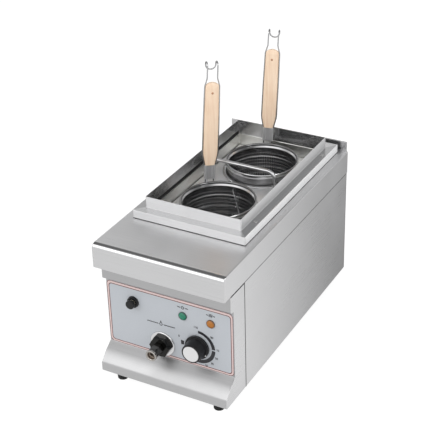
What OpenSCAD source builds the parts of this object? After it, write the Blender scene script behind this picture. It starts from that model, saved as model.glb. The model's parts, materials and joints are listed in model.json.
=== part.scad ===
// Counter-top pasta cooker: a stainless cabinet with one heated water tank and two lift-out baskets.
// Millimetres. The front faces -Y, +X is to the right seen from the front, and z = 0 is the table.

/* [Cabinet] */
// Width of the worktop
worktop_w = 300; // [280:5:360]
// Depth of the worktop, front to back
worktop_d = 600; // [580:5:700]
// Height from the base plate to the worktop
cabinet_h = 311; // [300:1:340]
// Height of the feet
foot_h = 25; // [18:1:40]
// Thickness of the cabinet sheet
sheet = 1.25; // [0.8:0.05:1.5]
// Height of the front apron and the side skirts
apron_h = 54; // [40:1:60]
// Radius of the rounded front edge of the worktop
nose_r = 9; // [4:0.5:14]
// Radius of the worktop's side edges
side_r = 2.5; // [2:0.1:4]
// Height of the backsplash above the worktop
backsplash_h = 24; // [10:1:40]
// Thickness of the hemmed backsplash
backsplash_t = 3; // [2:0.5:6]

/* [Front] */
// Distance of the header behind the front edge
header_setback = 26.5; // [15:0.5:34]
// Distance of the control panel behind the front edge
panel_setback = 39; // [36:0.5:48]
// Height of the lip at the foot of the front
lip_h = 22; // [12:1:30]
// Height of the slope from the lip up to the control panel
slope_h = 32.5; // [25:0.5:36]
// Height of the control panel
panel_h = 150; // [146:1:160]
// Height of the step from the control panel out to the header
step_h = 15.5; // [8:0.5:24]
// Depth of the cheeks, from the front edge to the seam with the side panels
cheek_d = 85; // [70:1:100]
// Width of the seam between a cheek and its side panel
seam = 0.6; // [0.3:0.1:1]
// Depth of the return at the foot of the front
front_return = 12; // [8:1:14]

/* [Control panel] */
// Margin of bare panel round the printed overlay
overlay_margin = 4; // [2:0.5:6]
// Thickness of the printed overlay
overlay_t = 0.6; // [0.4:0.1:1]
// Corner radius of the printed overlay
overlay_r = 10; // [4:1:16]
// Place of the thermostat knob, right of centre
knob_x = 65; // [60:1:75]
// Height of the knob above the foot of the control panel
knob_rise = 50.5; // [46:0.5:60]
// Diameter of the knob's skirt
knob_skirt_d = 54; // [46:1:60]
// Thickness of the knob's skirt
knob_skirt_t = 6; // [4:0.5:10]
// Diameter of the knob's grip
knob_grip_d = 45; // [38:1:45]
// Length of the knob
knob_l = 30; // [24:1:36]
// Diameter of the disc on the knob's face
knob_disc_d = 39; // [30:1:40]
// Thickness of that disc
knob_disc_t = 1.2; // [0.8:0.1:2]
// Angle of the knob's pointer at rest, clockwise from the top
knob_pointer = 122; // [-60:1:195]
// Place of the reset button, from the centre
reset_x = -84; // [-95:1:-70]
// Height of the lamps and the reset button above the foot of the control panel
lamp_rise = 115; // [112:0.5:122]
// Diameter of the reset button's bezel
reset_bezel_d = 28; // [25:0.5:34]
// Thickness of that bezel
reset_bezel_t = 7; // [6:0.5:10]
// Diameter of the reset button
reset_d = 20; // [17:0.5:21]
// How far the reset button stands out of the overlay
reset_out = 16; // [14:0.5:20]
// Travel of the reset button
reset_travel = 3; // [2:0.5:4]
// Place of the green lamp, right of centre
green_x = 32.5; // [25:0.5:40]
// Place of the orange lamp, right of centre
orange_x = 96.5; // [88:0.5:105]
// Diameter of a lamp's lens
lens_d = 20; // [17:0.5:24]
// How far a lens stands out of the overlay
lens_out = 5; // [3:0.5:8]

/* [Drain] */
// Place of the drain, from the centre
drain_x = -18; // [-24:1:-12]
// Height of the drain above the foot of the control panel
drain_rise = 31.5; // [30:0.5:40]
// Diameter of the drain's flange
drain_flange_d = 58; // [52:1:62]
// Thickness of the drain's flange
drain_flange_t = 4; // [3:0.5:6]
// Width across the flats of the drain's nut
drain_nut_w = 42; // [36:1:46]
// Thickness of the drain's nut
drain_nut_t = 13; // [8:0.5:16]
// Width across the flats of the spout
spout_w = 22; // [20.5:0.5:26]
// How far the spout's end stands out of the control panel
spout_out = 50; // [44:1:60]
// Bore of the spout
spout_bore_d = 14; // [10:0.5:14]
// Outer diameter of the drain pipe
drain_pipe_d = 20; // [16:0.5:20]
// Wall of the drain pipe
drain_pipe_wall = 2; // [1.5:0.5:3]

/* [Tank] */
// Gap between the plinth and the front edge
plinth_front_gap = 126; // [120:1:140]
// Gap between the plinth and the rear edge
plinth_rear_gap = 13; // [8:1:20]
// Gap between the plinth and each side edge
plinth_side_gap = 19.75; // [10:0.25:20]
// Height of the plinth above the worktop
plinth_h = 19; // [12:1:30]
// Edge radius of the plinth
plinth_r = 4; // [2:0.5:8]
// Width of the ledge in front of the collar
ledge_front = 21; // [14:1:24]
// Width of the ledge behind the collar
ledge_rear = 25; // [14:1:28]
// Width of the ledge at each side of the collar
ledge_side = 19.25; // [14:0.25:20]
// Height of the collar above the ledge
collar_h = 25; // [15:1:40]
// Wall of the tank and the collar
tank_wall = 1.5; // [1:0.1:2]
// Depth of the tank's top edge below the ledge
tank_drop = 10; // [6:1:16]
// Length of the lap joint between the tank and the collar
tank_lap = 14; // [8:1:20]
// Depth of the tank floor below the drain's axis
drain_above_floor = 14; // [12:1:16]
// Diameter of the heater tube
heater_d = 8; // [6:0.5:9]
// Height of the heater above the tank floor
heater_rise = 18; // [12:1:22]
// Gap between the heater and the side of the tank
heater_side_gap = 18; // [14:1:24]
// Radius of the heater's rear bends
heater_bend_r = 25; // [20:1:28]

/* [Basket plate] */
// Depth of the plate below the mouth of the tank
plate_drop = 61; // [56:1:80]
// Thickness of the plate
plate_t = 1.5; // [1:0.1:3]
// Gap between the plate and the tank's walls
plate_gap = 1.5; // [1:0.1:3]
// Height of the plate's turned-down edge
plate_edge_h = 15; // [8:1:25]
// Gap between the rings of the two baskets
basket_gap = 28; // [16:0.5:36]
// Gap between the front basket's ring and the front of the tank
basket_front_gap = 17.5; // [6:0.5:24]
// Gap between the rear basket's ring and the rear of the tank
basket_rear_gap = 7.5; // [6:0.5:16]
// Height of the lift bar above the plate
lift_bar_h = 67; // [50:1:90]
// Length of the lift bar over its legs' centres
lift_bar_l = 168; // [140:2:172]
// Diameter of the lift bar
lift_bar_d = 8; // [4:0.5:8]
// Bend radius of the lift bar
lift_bar_bend = 22; // [10:1:28]

/* [Baskets] */
// Thickness of the basket's wall
basket_wall = 1; // [0.8:0.1:1.5]
// Depth of the basket, rim to bottom
basket_depth = 190; // [150:2:194]
// Radius of the basket's bottom edge
basket_bottom_r = 10; // [4:1:20]
// Depth of the rim below the mouth of the tank
rim_drop = 33; // [28:1:44]
// Diameter of the rim's wire
rim_wire_d = 4; // [3:0.5:6]
// Thickness of the band under the rim
band_t = 1.5; // [1:0.1:2]
// Width of the ring that rests on the plate
stop_ring_w = 11; // [9:0.5:13]
// Thickness of that ring
stop_ring_t = 3; // [1.5:0.5:3]
// Gap round the basket in its hole
hole_gap = 3; // [2:0.5:5]
// Turn of the front basket, counter-clockwise from the rear
front_turn = 42; // [0:1:60]
// Turn of the rear basket, counter-clockwise from the rear
rear_turn = 18; // [0:1:60]

/* [Handles] */
// Diameter of the handle's wire
wire_d = 3; // [2:0.5:4]
// Sideways lean of the handle
handle_lean = 3.2; // [0:0.2:6]
// Height of the ferrule's foot above the rim
ferrule_rise = 4; // [3:1:20]
// Length of the ferrule
ferrule_l = 38; // [25:1:50]
// Thickness of the ferrule
ferrule_t = 7; // [5:0.5:9]
// Distance between the wires in the ferrule
ferrule_spacing = 18; // [14:0.5:20]
// Length of the wooden grip
grip_l = 188; // [150:1:220]
// Thickness of the wooden grip
grip_t = 10; // [7:0.5:14]
// Distance between the wires at the widest part of the grip
grip_spacing = 34; // [28:0.5:36]
// Distance between the wires at the shoulders of the grip
shoulder_spacing = 32; // [27:0.5:33]
// Length of the tapered foot of the grip
taper_l = 34; // [20:1:50]
// Length of the grip's rounded top, above the shoulders
crown_l = 9; // [6:0.5:12]
// Distance between the wires at the neck
neck_spacing = 22; // [18:0.5:24]
// Height of the neck above the grip
neck_h = 33; // [28:1:45]
// Radius of the hook's fold
fold_r = 9; // [7:0.5:14]
// Diameter of the pin through the grip
pin_d = 5; // [3:0.5:6]
// Distance of the pin below the shoulders
pin_below = 14; // [8:1:30]

/* [Rear and base] */
// Depth of a foot's inset from the front and rear edges
foot_inset_y = 28; // [27:1:60]
// Inset of a foot from the side edges
foot_inset_x = 34; // [20:1:60]
// Diameter of a foot
foot_d = 26; // [20:1:27]
// Diameter of the screws in the feet
foot_screw_d = 5; // [4:0.5:6]
// Width of the turned edges of the base plate and the side panels
flange_w = 18; // [16:1:24]
// Distance of the cable gland from the right side of the body
gland_inset = 58.75; // [45:0.25:75]
// Height of the cable gland above the base plate
gland_rise = 38; // [32:1:44]
// How far the cable gland stands out of the rear panel
gland_out = 20; // [16:1:30]
// Bore of the cable gland
gland_bore_d = 10; // [8:0.5:13]

/* [Hidden] */
$fn = 64;
// Gap between pieces that move on each other's flat faces
rest_gap = 0.3;
// Gap round a turning or sliding shaft
run_gap = 0.08;
// Gap round a fixed piece in its hole
fit_gap = 0.05;
// Extra length of a cutting tool beyond the face that it cuts
cut = 1;

// Places along the depth: the box over the spout and the gland is centred on y = 0
spout_reach = spout_out - panel_setback;
nose_y = (spout_reach - worktop_d - gland_out) / 2;
rear_y = nose_y + worktop_d;
panel_y = nose_y + panel_setback;
seam_y = nose_y + cheek_d;

// The plinth, the collar and the tank
plinth_y0 = nose_y + plinth_front_gap;
plinth_y1 = rear_y - plinth_rear_gap;
collar_y0 = plinth_y0 + ledge_front;
collar_y1 = plinth_y1 - ledge_rear;
tank_y0 = collar_y0 + tank_wall;
tank_y1 = collar_y1 - tank_wall;
tank_l = tank_y1 - tank_y0 - 2 * tank_wall;
tank_mid_y = (tank_y0 + tank_y1) / 2;

// Baskets, as large as two rings in a row in the tank let them be
stop_ring_r = (tank_l - basket_front_gap - basket_rear_gap - basket_gap) / 4;
band_r = stop_ring_r - stop_ring_w;
basket_d = 2 * (band_r - fit_gap);
rim_ring_r = band_r + rim_wire_d / 2;
rim_outer_r = rim_ring_r + rim_wire_d / 2;
hole_r = basket_d / 2 + hole_gap;
handle_r = sqrt(pow(rim_outer_r + wire_d / 2 + fit_gap, 2) - pow(ferrule_spacing / 2, 2));
front_basket_y = tank_y0 + tank_wall + basket_front_gap + stop_ring_r;
rear_basket_y = tank_y1 - tank_wall - basket_rear_gap - stop_ring_r;

// Widths
body_w = worktop_w - 2 * sheet;
fascia_w = body_w - 2 * sheet;
overlay_w = fascia_w - 2 * overlay_margin;
overlay_h = panel_h - 2 * overlay_margin;
plinth_w = worktop_w - 2 * plinth_side_gap;
collar_w = plinth_w - 2 * ledge_side;
tank_w = collar_w - 2 * tank_wall;
tank_in_x = tank_w / 2 - tank_wall;

// Heights
base_z = foot_h;
worktop_z = base_z + cabinet_h;
apron_z = worktop_z - apron_h;
under_z = worktop_z - sheet;
side_top_z = worktop_z - side_r;
lip_z = base_z + lip_h;
panel_z0 = lip_z + slope_h;
panel_z1 = panel_z0 + panel_h;
header_z = panel_z1 + step_h;
ledge_z = worktop_z + plinth_h;
mouth_z = ledge_z + collar_h;
tank_top_z = ledge_z - tank_drop;
plate_z = mouth_z - plate_drop;
rim_z = mouth_z - rim_drop;
basket_z = rim_z - basket_depth;
drain_z = panel_z0 + drain_rise;
tank_floor_z = drain_z - drain_above_floor;
heater_z = tank_floor_z + heater_rise;
knob_z = panel_z0 + knob_rise;
lamp_z = panel_z0 + lamp_rise;
floor_sheet_z = base_z + sheet;

// Thermostat and limiter behind the control panel
control_body = [42, 30, 32];
bush_d = 10;
shaft_d = 6;
limiter_nose_d = 14;
reset_stem_d = 6;
lamp_hole_d = 14;
lamp_holder_l = 28;
back_face = -sheet;

// Valve behind the drain's flange, measured out of the panel's face
valve_neck_d = 26;
valve_body_d = 36;
valve_body_l = 42;
spigot_d = 18;
valve_seat = back_face - 28;
valve_seat_t = 4;
drain_port_d = 4;
drain_port_off = 3.8;
nut_base = overlay_t + drain_flange_t;
nut_top = nut_base + drain_nut_t;

// Heater runs
heater_outer_x = tank_in_x - heater_side_gap;
heater_inner_x = heater_outer_x - 2 * heater_bend_r;
heater_rear_y = tank_y1 - tank_wall - 2 * heater_bend_r;
heater_front_gap = 40;
heater_front_y = tank_y0 + tank_wall + heater_inner_x + heater_front_gap;
heater_stud_d = 4;
heater_stud_l = 12;
heater_shank_l = 16;
heater_nut_t = 6;
heater_nut_r = 8;

// Probes through the front wall of the tank
probe_d = 6.4;
probe_l = 110;
probe_rise = 14;
probe_z = heater_z + probe_rise;
probe_nut_r = 7;
probe_nut_t = 8;
capillary_d = 2;
capillary_corner = 0.4;
thermostat_probe_x = 22;
limiter_probe_x = -62;

// Handles, with heights counted from the middle of the rim's wire, where the handle is fixed
handle_z = rim_z - rim_wire_d / 2;
wire_foot_gap = 0.2;
wire_foot_z = plate_z + rest_gap + stop_ring_t + wire_foot_gap - handle_z;
ferrule_z = rim_z + ferrule_rise - handle_z;
grip_z = ferrule_z + ferrule_l;
taper_z = grip_z + taper_l;
crown_z = grip_z + grip_l - crown_l;
grip_top_z = grip_z + grip_l;
neck_z = grip_top_z + crown_l;
fold_z = grip_top_z + neck_h;
wire_side = wire_d / 2 + fit_gap;
pin_proud = 0.5;

// Terminal block, and leads along the base plate
gland_x = body_w / 2 - gland_inset;
block = [56, 24, 20];
block_rear_gap = 62;
block_y = rear_y - block_rear_gap;
lead_d = 3;
lead_bend_r = 6;
lead_rise = 7;
lead_pitch = 12;
lead_lane_z = floor_sheet_z + lead_rise;
lane_inset = 28;
lane_x = body_w / 2 - lane_inset;
lane_run_in = 14;
control_back_y = panel_y + sheet + control_body[2];
lane_turn_gap = 14;
lane_turn_y = control_back_y + lane_turn_gap;
stud_end_y = tank_y0 - heater_shank_l - heater_stud_l;
stud_lead_gap = 10;
capillary_bow_y = (control_back_y + tank_y0 - probe_nut_t) / 2;

// Shapes that repeat

// Profile in y and z, carried along x and centred
module along_x(w) {
    translate([-w / 2, 0, 0]) rotate([90, 0, 90]) linear_extrude(w) children();
}

// Profile in x and z, carried from y0 to y1
module along_y(y0, y1) {
    translate([0, y1, 0]) rotate([90, 0, 0]) linear_extrude(y1 - y0) children();
}

// Place on the control panel: x to the right, y up, z out to the front
module on_panel(x, z) {
    translate([x, panel_y, z]) rotate([90, 0, 0]) children();
}

// Place on the rear panel: z out to the rear
module on_rear(x, z) {
    translate([x, rear_y, z]) rotate([-90, 0, 0]) children();
}

// Pieces that stand at both sides, mirrored
module both_sides() {
    for (side = [0, 1]) mirror([side, 0, 0]) children();
}

// Block from a0 to a1 with its two upper corners rounded
module block_profile(a0, a1, z0, z1, r0, r1) {
    r = max(r0, r1);
    translate([a0, z0]) square([a1 - a0, z1 - z0 - r]);
    translate([a0 + r0, z0]) square([a1 - a0 - r0 - r1, z1 - z0]);
    if (r0 > 0) translate([a0 + r0, z1 - r0]) circle(r0);
    if (r1 > 0) translate([a1 - r1, z1 - r1]) circle(r1);
    if (r0 == 0) translate([a0, z0]) square([r, z1 - z0]);
    if (r1 == 0) translate([a1 - r, z0]) square([r, z1 - z0]);
}

// Folded cover: rounded along the front, the rear and both sides
module pressed(w, y0, y1, z0, z1, r_front, r_rear, r_side) {
    intersection() {
        along_x(w) block_profile(y0, y1, z0, z1, r_front, r_rear);
        along_y(y0, y1) block_profile(-w / 2, w / 2, z0, z1, r_side, r_side);
    }
}

module rounded_rect(w, h, r) {
    square([w - 2 * r, h], center = true);
    square([w, h - 2 * r], center = true);
    for (x = [-1, 1], y = [-1, 1]) translate([x * (w / 2 - r), y * (h / 2 - r)]) circle(r);
}

module box(x0, x1, y0, y1, z0, z1) {
    translate([x0, y0, z0]) cube([x1 - x0, y1 - y0, z1 - z0]);
}

module hex(across, h) {
    cylinder(d = across / cos(30), h = h, $fn = 6);
}

// Sheet folded along a path: the path and its copy moved sideways by t
function unit(v) = v / norm(v);
function left_of(v) = [-v[1], v[0]];
function run_normal(p, i) = left_of(unit(p[i + 1] - p[i]));
function corner_shift(p, i, t) =
    i == 0 ? t * run_normal(p, 0)
    : i == len(p) - 1 ? t * run_normal(p, i - 1)
    : let (a = run_normal(p, i - 1), b = run_normal(p, i)) t * (a + b) / (1 + a * b);
function folded(p, t) = concat(p, [for (i = [len(p) - 1 : -1 : 0]) p[i] + corner_shift(p, i, t)]);

// Straight rod between two points
module rod(a, b, d) {
    v = b - a;
    translate(a)
        rotate([0, acos(v[2] / norm(v)), atan2(v[1], v[0])])
            cylinder(d = d, h = norm(v));
}

// Rod along a list of points, with round corners that are a little thicker than the rod
module bent_rod(points, d, extra) {
    for (i = [0 : len(points) - 2]) rod(points[i], points[i + 1], d);
    for (i = [1 : len(points) - 2]) translate(points[i]) sphere(d = d + extra);
}

// Bend of a rod in the plane x, y: radius r, from angle a over the angle sweep
module bend(r, d, a, sweep) {
    rotate([0, 0, a]) rotate_extrude(angle = sweep) translate([r, 0]) circle(d = d);
}

// Cabinet

module worktop() {
    color("lightgray") difference() {
        pressed(worktop_w, nose_y, rear_y, apron_z, worktop_z, nose_r, 0, side_r);
        pressed(worktop_w - 2 * sheet, nose_y + sheet, rear_y + cut, apron_z - cut, worktop_z - sheet,
            nose_r - sheet, 0, side_r - sheet);
        box(-collar_w / 2 - rest_gap, collar_w / 2 + rest_gap, collar_y0 - rest_gap, collar_y1 + rest_gap,
            worktop_z - sheet - cut, worktop_z + cut);
    }
}

module backsplash() {
    color("silver") box(-worktop_w / 2 + side_r, worktop_w / 2 - side_r, rear_y - backsplash_t, rear_y,
        worktop_z, worktop_z + backsplash_h);
}

module tank_surround() {
    color("gainsboro") difference() {
        pressed(plinth_w, plinth_y0, plinth_y1, worktop_z, ledge_z, plinth_r, plinth_r, plinth_r);
        pressed(plinth_w - 2 * sheet, plinth_y0 + sheet, plinth_y1 - sheet, worktop_z - cut, ledge_z - sheet,
            plinth_r - sheet, plinth_r - sheet, plinth_r - sheet);
        box(-collar_w / 2, collar_w / 2, collar_y0, collar_y1, worktop_z, ledge_z + cut);
        screw_places() cylinder(d = screw_d + 2 * fit_gap, h = 4 * sheet, center = true);
    }
}

screw_d = 4;
screw_head_d = 8;
screw_head_t = 2;
screw_l = 8;
screw_corner = 66;

module screw_places() {
    for (x = [-1, 1], y = [plinth_y0 + screw_corner, plinth_y1 - screw_corner])
        translate([x * (plinth_w + collar_w) / 4, y, ledge_z]) children();
}

module tank_collar() {
    color("whitesmoke") difference() {
        box(-collar_w / 2, collar_w / 2, collar_y0, collar_y1, tank_top_z - tank_lap, mouth_z);
        box(-tank_w / 2, tank_w / 2, tank_y0, tank_y1, tank_top_z - tank_lap - cut, mouth_z + cut);
    }
}

module surround_screws() {
    color("gray") screw_places() {
        cylinder(d = screw_head_d, h = screw_head_t);
        translate([0, 0, -screw_l]) cylinder(d = screw_d, h = screw_l);
    }
}

module tank() {
    color("darkgray") difference() {
        box(-tank_w / 2, tank_w / 2, tank_y0, tank_y1, tank_floor_z - tank_wall, tank_top_z);
        box(-tank_in_x, tank_in_x, tank_y0 + tank_wall, tank_y1 - tank_wall, tank_floor_z, tank_top_z + cut);
        front_wall_hole(drain_x, drain_z, drain_pipe_d - 2 * drain_pipe_wall);
        for (x = [-1, 1]) front_wall_hole(x * heater_outer_x, heater_z, heater_d + 2 * fit_gap);
        front_wall_hole(thermostat_probe_x, probe_z, probe_d + 2 * fit_gap);
        front_wall_hole(limiter_probe_x, probe_z, probe_d + 2 * fit_gap);
    }
}

module front_wall_hole(x, z, d) {
    translate([x, tank_y0 - cut, z]) rotate([-90, 0, 0]) cylinder(d = d, h = tank_wall + 2 * cut);
}

support_w = 12;
support_l = 34;
support_off = 118;
support_z = plate_z - plate_edge_h - rest_gap;

module plate_supports() {
    corner = [[tank_in_x - support_w, support_z], [tank_in_x, support_z], [tank_in_x, support_z - support_w]];
    color("silver") both_sides()
        for (y = [tank_mid_y - support_off, tank_mid_y + support_off])
            along_y(y - support_l / 2, y + support_l / 2) polygon(folded(corner, -tank_wall));
}

// Outer line of the front, from the worktop down to the return under the lip
front_path = [
    [nose_y + header_setback, under_z],
    [nose_y + header_setback, header_z],
    [panel_y, panel_z1],
    [panel_y, panel_z0],
    [nose_y, lip_z],
    [nose_y, base_z],
    [nose_y + front_return, base_z]
];

module front_fascia() {
    color("lightgray") difference() {
        along_x(fascia_w) polygon(folded(front_path, sheet));
        on_panel(knob_x, knob_z) panel_hole(bush_d + 2 * fit_gap);
        on_panel(reset_x, lamp_z) panel_hole(limiter_nose_d + 2 * fit_gap);
        for (x = [green_x, orange_x]) on_panel(x, lamp_z) panel_hole(lamp_hole_d + 2 * fit_gap);
        on_panel(drain_x, drain_z) panel_hole(valve_neck_d + 2 * fit_gap);
    }
}

module panel_hole(d) {
    translate([0, 0, -sheet - cut]) cylinder(d = d, h = sheet + overlay_t + 2 * cut);
}

module cheek() {
    edge = [for (i = [1 : 5]) front_path[i]];
    top = [[seam_y, base_z], [seam_y, side_top_z], [nose_y + header_setback, side_top_z]];
    color("lightgray") translate([body_w / 2 - sheet / 2, 0, 0]) along_x(sheet)
        polygon(concat(edge, top));
}

module left_cheek() {
    mirror([1, 0, 0]) cheek();
}

module right_cheek() {
    cheek();
}

module control_overlay() {
    color("lightsteelblue") difference() {
        on_panel(0, (panel_z0 + panel_z1) / 2) linear_extrude(overlay_t)
            rounded_rect(overlay_w, overlay_h, overlay_r);
        on_panel(knob_x, knob_z) panel_hole(bush_d + 2 * fit_gap);
        on_panel(reset_x, lamp_z) panel_hole(limiter_nose_d + 2 * fit_gap);
        for (x = [green_x, orange_x]) on_panel(x, lamp_z) panel_hole(lamp_hole_d + 2 * fit_gap);
        on_panel(drain_x, drain_z) panel_hole(valve_neck_d + 2 * fit_gap);
    }
}

// Side panel with a turned edge behind the rear panel
module side_panel() {
    path = [
        [body_w / 2, seam_y + seam],
        [body_w / 2, rear_y - sheet],
        [body_w / 2 - flange_w, rear_y - sheet]
    ];
    color("lightgray") difference() {
        translate([0, 0, base_z]) linear_extrude(side_top_z - base_z) polygon(folded(path, sheet));
        rear_screw_places() cylinder(d = screw_d + 2 * fit_gap, h = 6 * sheet, center = true);
    }
}

module left_side_panel() {
    mirror([1, 0, 0]) side_panel();
}

module right_side_panel() {
    side_panel();
}

vent_w = 70;
vent_h = 5;
vent_pitch = 14;
vent_count = 6;
vent_x = 55;
vent_rise = 150;
vent_z = base_z + vent_rise;

module rear_panel() {
    color("silver") difference() {
        box(-body_w / 2, body_w / 2, rear_y - sheet, rear_y, base_z, side_top_z);
        for (x = [-vent_x, vent_x], i = [0 : vent_count - 1])
            translate([x, rear_y, vent_z + i * vent_pitch]) cube([vent_w, 6 * sheet, vent_h], center = true);
        rear_screw_places() cylinder(d = screw_d + 2 * fit_gap, h = 6 * sheet, center = true);
        on_rear(gland_x, base_z + gland_rise)
            cylinder(d = gland_thread_d + 2 * fit_gap, h = 6 * sheet, center = true);
    }
}

rear_screw_rise = 40;
rear_screw_pitch = 110;

module rear_screw_places() {
    for (x = [-1, 1], i = [0 : 2])
        on_rear(x * (body_w / 2 - flange_w / 2), base_z + rear_screw_rise + i * rear_screw_pitch) children();
}

module rear_panel_screws() {
    color("gray") rear_screw_places() {
        cylinder(d = screw_head_d, h = screw_head_t);
        translate([0, 0, -screw_l]) cylinder(d = screw_d, h = screw_l);
    }
}

module base_plate() {
    x = fascia_w / 2;
    path = [[-x, base_z + flange_w], [-x, base_z], [x, base_z], [x, base_z + flange_w]];
    color("silver") difference() {
        along_y(nose_y + front_return, rear_y - 2 * sheet) polygon(folded(path, sheet));
        foot_places() cylinder(d = foot_screw_d + 2 * fit_gap, h = 4 * sheet, center = true);
    }
}

module foot_places() {
    for (x = [-1, 1], y = [nose_y + foot_inset_y, rear_y - foot_inset_y])
        translate([x * (worktop_w / 2 - foot_inset_x), y, base_z]) children();
}

foot_taper = 1.5;
foot_seat = 10;
foot_head_d = 10;
foot_head_t = 3.5;
foot_head_gap = 0.5;
foot_screw_end = 2;
foot_nut_t = 4;
foot_nut_w = 8;

module feet() {
    color("black") foot_places() translate([0, 0, -foot_h]) difference() {
        cylinder(d1 = foot_d - 2 * foot_taper, d2 = foot_d, h = foot_h);
        translate([0, 0, -cut]) cylinder(d = foot_screw_d + 2 * fit_gap, h = foot_h + 2 * cut);
        translate([0, 0, -cut]) cylinder(d = foot_head_d + 2 * foot_head_gap, h = foot_h - foot_seat + cut);
    }
}

module foot_screws() {
    color("gray") foot_places() {
        translate([0, 0, -foot_seat - foot_head_t]) cylinder(d = foot_head_d, h = foot_head_t);
        translate([0, 0, -foot_seat])
            cylinder(d = foot_screw_d, h = foot_seat + sheet + foot_nut_t + foot_screw_end);
    }
}

module foot_nuts() {
    color("gray") foot_places() translate([0, 0, sheet]) difference() {
        hex(foot_nut_w, foot_nut_t);
        translate([0, 0, -cut]) cylinder(d = foot_screw_d + 2 * fit_gap, h = foot_nut_t + 2 * cut);
    }
}

// Controls

bush_out = 2.5;
bush_l = overlay_t + bush_out;
bush_clearance = 3;
shaft_in = 14;
shaft_short = 6;
shaft_out = knob_l - shaft_short;
knob_gap = 0.8;
knob_back = overlay_t + knob_gap;

module thermostat() {
    color("ivory") on_panel(knob_x, knob_z) difference() {
        union() {
            control_box();
            translate([0, 0, back_face]) cylinder(d = bush_d, h = bush_l - back_face);
        }
        translate([0, 0, back_face - shaft_in - cut])
            cylinder(d = shaft_d + 2 * run_gap, h = shaft_in + bush_l - back_face + 2 * cut);
    }
}

module control_box() {
    translate([-control_body[0] / 2, -control_body[1] / 2, back_face - control_body[2]]) cube(control_body);
}

module thermostat_shaft() {
    color("silver") on_panel(knob_x, knob_z)
        translate([0, 0, back_face - shaft_in]) cylinder(d = shaft_d, h = shaft_in - back_face + shaft_out);
}

knob_draft = 1;
pointer_w = 3;
pointer_t = 2.5;
pointer_inset = 0.5;

// The knob turns about its bore; its pointer is a rib from the skirt up to the face
module thermostat_knob() {
    color("black") on_panel(knob_x, knob_z) difference() {
        union() {
            translate([0, 0, knob_back]) cylinder(d = knob_skirt_d, h = knob_skirt_t);
            translate([0, 0, knob_back])
                cylinder(d1 = knob_grip_d + 2 * knob_draft, d2 = knob_grip_d, h = knob_l);
            rotate([0, 0, -knob_pointer]) translate([-pointer_w / 2, 0, knob_back])
                cube([pointer_w, knob_skirt_d / 2 - pointer_inset, knob_skirt_t + pointer_t]);
        }
        translate([0, 0, knob_back + knob_l - knob_disc_t])
            cylinder(d = knob_disc_d + 2 * fit_gap, h = 2 * knob_disc_t);
        translate([0, 0, knob_back - cut]) cylinder(d = bush_d + 2 * bush_clearance, h = bush_l + cut);
        cylinder(d = shaft_d + 2 * fit_gap, h = shaft_out + fit_gap);
    }
}

module knob_disc() {
    color("whitesmoke") on_panel(knob_x, knob_z)
        translate([0, 0, knob_back + knob_l - knob_disc_t]) cylinder(d = knob_disc_d, h = knob_disc_t);
}

// Probe through the front wall of the tank, with its nut
module probe(x) {
    translate([x, tank_y0 - probe_nut_t, probe_z]) rotate([-90, 0, 0]) {
        cylinder(d = probe_d, h = probe_nut_t + probe_l);
        hex(2 * probe_nut_r * cos(30), probe_nut_t);
    }
}

// Thin tube from a probe's nut to its control
module capillary(x, control_x, control_z) {
    bent_rod([
        [x, tank_y0 - probe_nut_t, probe_z],
        [x, capillary_bow_y, probe_z],
        [control_x, capillary_bow_y, control_z],
        [control_x, control_back_y, control_z]
    ], capillary_d, capillary_corner);
}

module thermostat_probe() {
    color("orange") probe(thermostat_probe_x);
}

module limiter_probe() {
    color("orange") probe(limiter_probe_x);
}

module capillaries() {
    color("peru") {
        capillary(thermostat_probe_x, knob_x, knob_z);
        capillary(limiter_probe_x, reset_x, lamp_z);
    }
}

bezel_web_t = 2;
nose_l = overlay_t + bezel_web_t;
reset_cap_l = 10;
reset_back = reset_out + overlay_t - reset_cap_l;
reset_stem_l = 14;

module limiter() {
    color("ivory") on_panel(reset_x, lamp_z) difference() {
        union() {
            control_box();
            translate([0, 0, back_face]) cylinder(d = limiter_nose_d, h = nose_l - back_face);
        }
        translate([0, 0, back_face - reset_stem_l])
            cylinder(d = reset_stem_d + 2 * run_gap, h = reset_stem_l + nose_l - back_face + cut);
    }
}

module reset_bezel() {
    color("black") on_panel(reset_x, lamp_z) translate([0, 0, overlay_t]) difference() {
        cylinder(d = reset_bezel_d, h = reset_bezel_t);
        translate([0, 0, -cut]) cylinder(d = limiter_nose_d + 2 * fit_gap, h = bezel_web_t + 2 * cut);
        translate([0, 0, bezel_web_t]) cylinder(d = reset_d + 2 * run_gap, h = reset_bezel_t);
    }
}

module reset_button() {
    color("black") on_panel(reset_x, lamp_z) {
        translate([0, 0, reset_back]) cylinder(d = reset_d, h = reset_cap_l);
        translate([0, 0, reset_back - reset_stem_l + reset_travel])
            cylinder(d = reset_stem_d, h = reset_stem_l - reset_travel);
    }
}

lens_rim_t = 2;
lens_rim_w = 1;

// Lens with a rim and a domed face
module lens() {
    dome_h = lens_out - lens_rim_t;
    dome_r = (pow(lens_d / 2 - lens_rim_w, 2) + dome_h * dome_h) / (2 * dome_h);
    translate([0, 0, overlay_t]) {
        cylinder(d = lens_d, h = lens_rim_t);
        intersection() {
            translate([0, 0, lens_out - dome_r]) sphere(dome_r);
            cylinder(d = lens_d - 2 * lens_rim_w, h = lens_out);
        }
    }
}

module green_lamp() {
    color("green") on_panel(green_x, lamp_z) lens();
}

module orange_lamp() {
    color("orange") on_panel(orange_x, lamp_z) lens();
}

holder_nut_d = 20;
holder_nut_t = 4;

module lamp_holders() {
    color("dimgray") for (x = [green_x, orange_x]) on_panel(x, lamp_z) {
        translate([0, 0, back_face - lamp_holder_l])
            cylinder(d = lamp_hole_d, h = lamp_holder_l - back_face + overlay_t);
        translate([0, 0, back_face - holder_nut_t]) cylinder(d = holder_nut_d, h = holder_nut_t);
    }
}

// Drain

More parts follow.
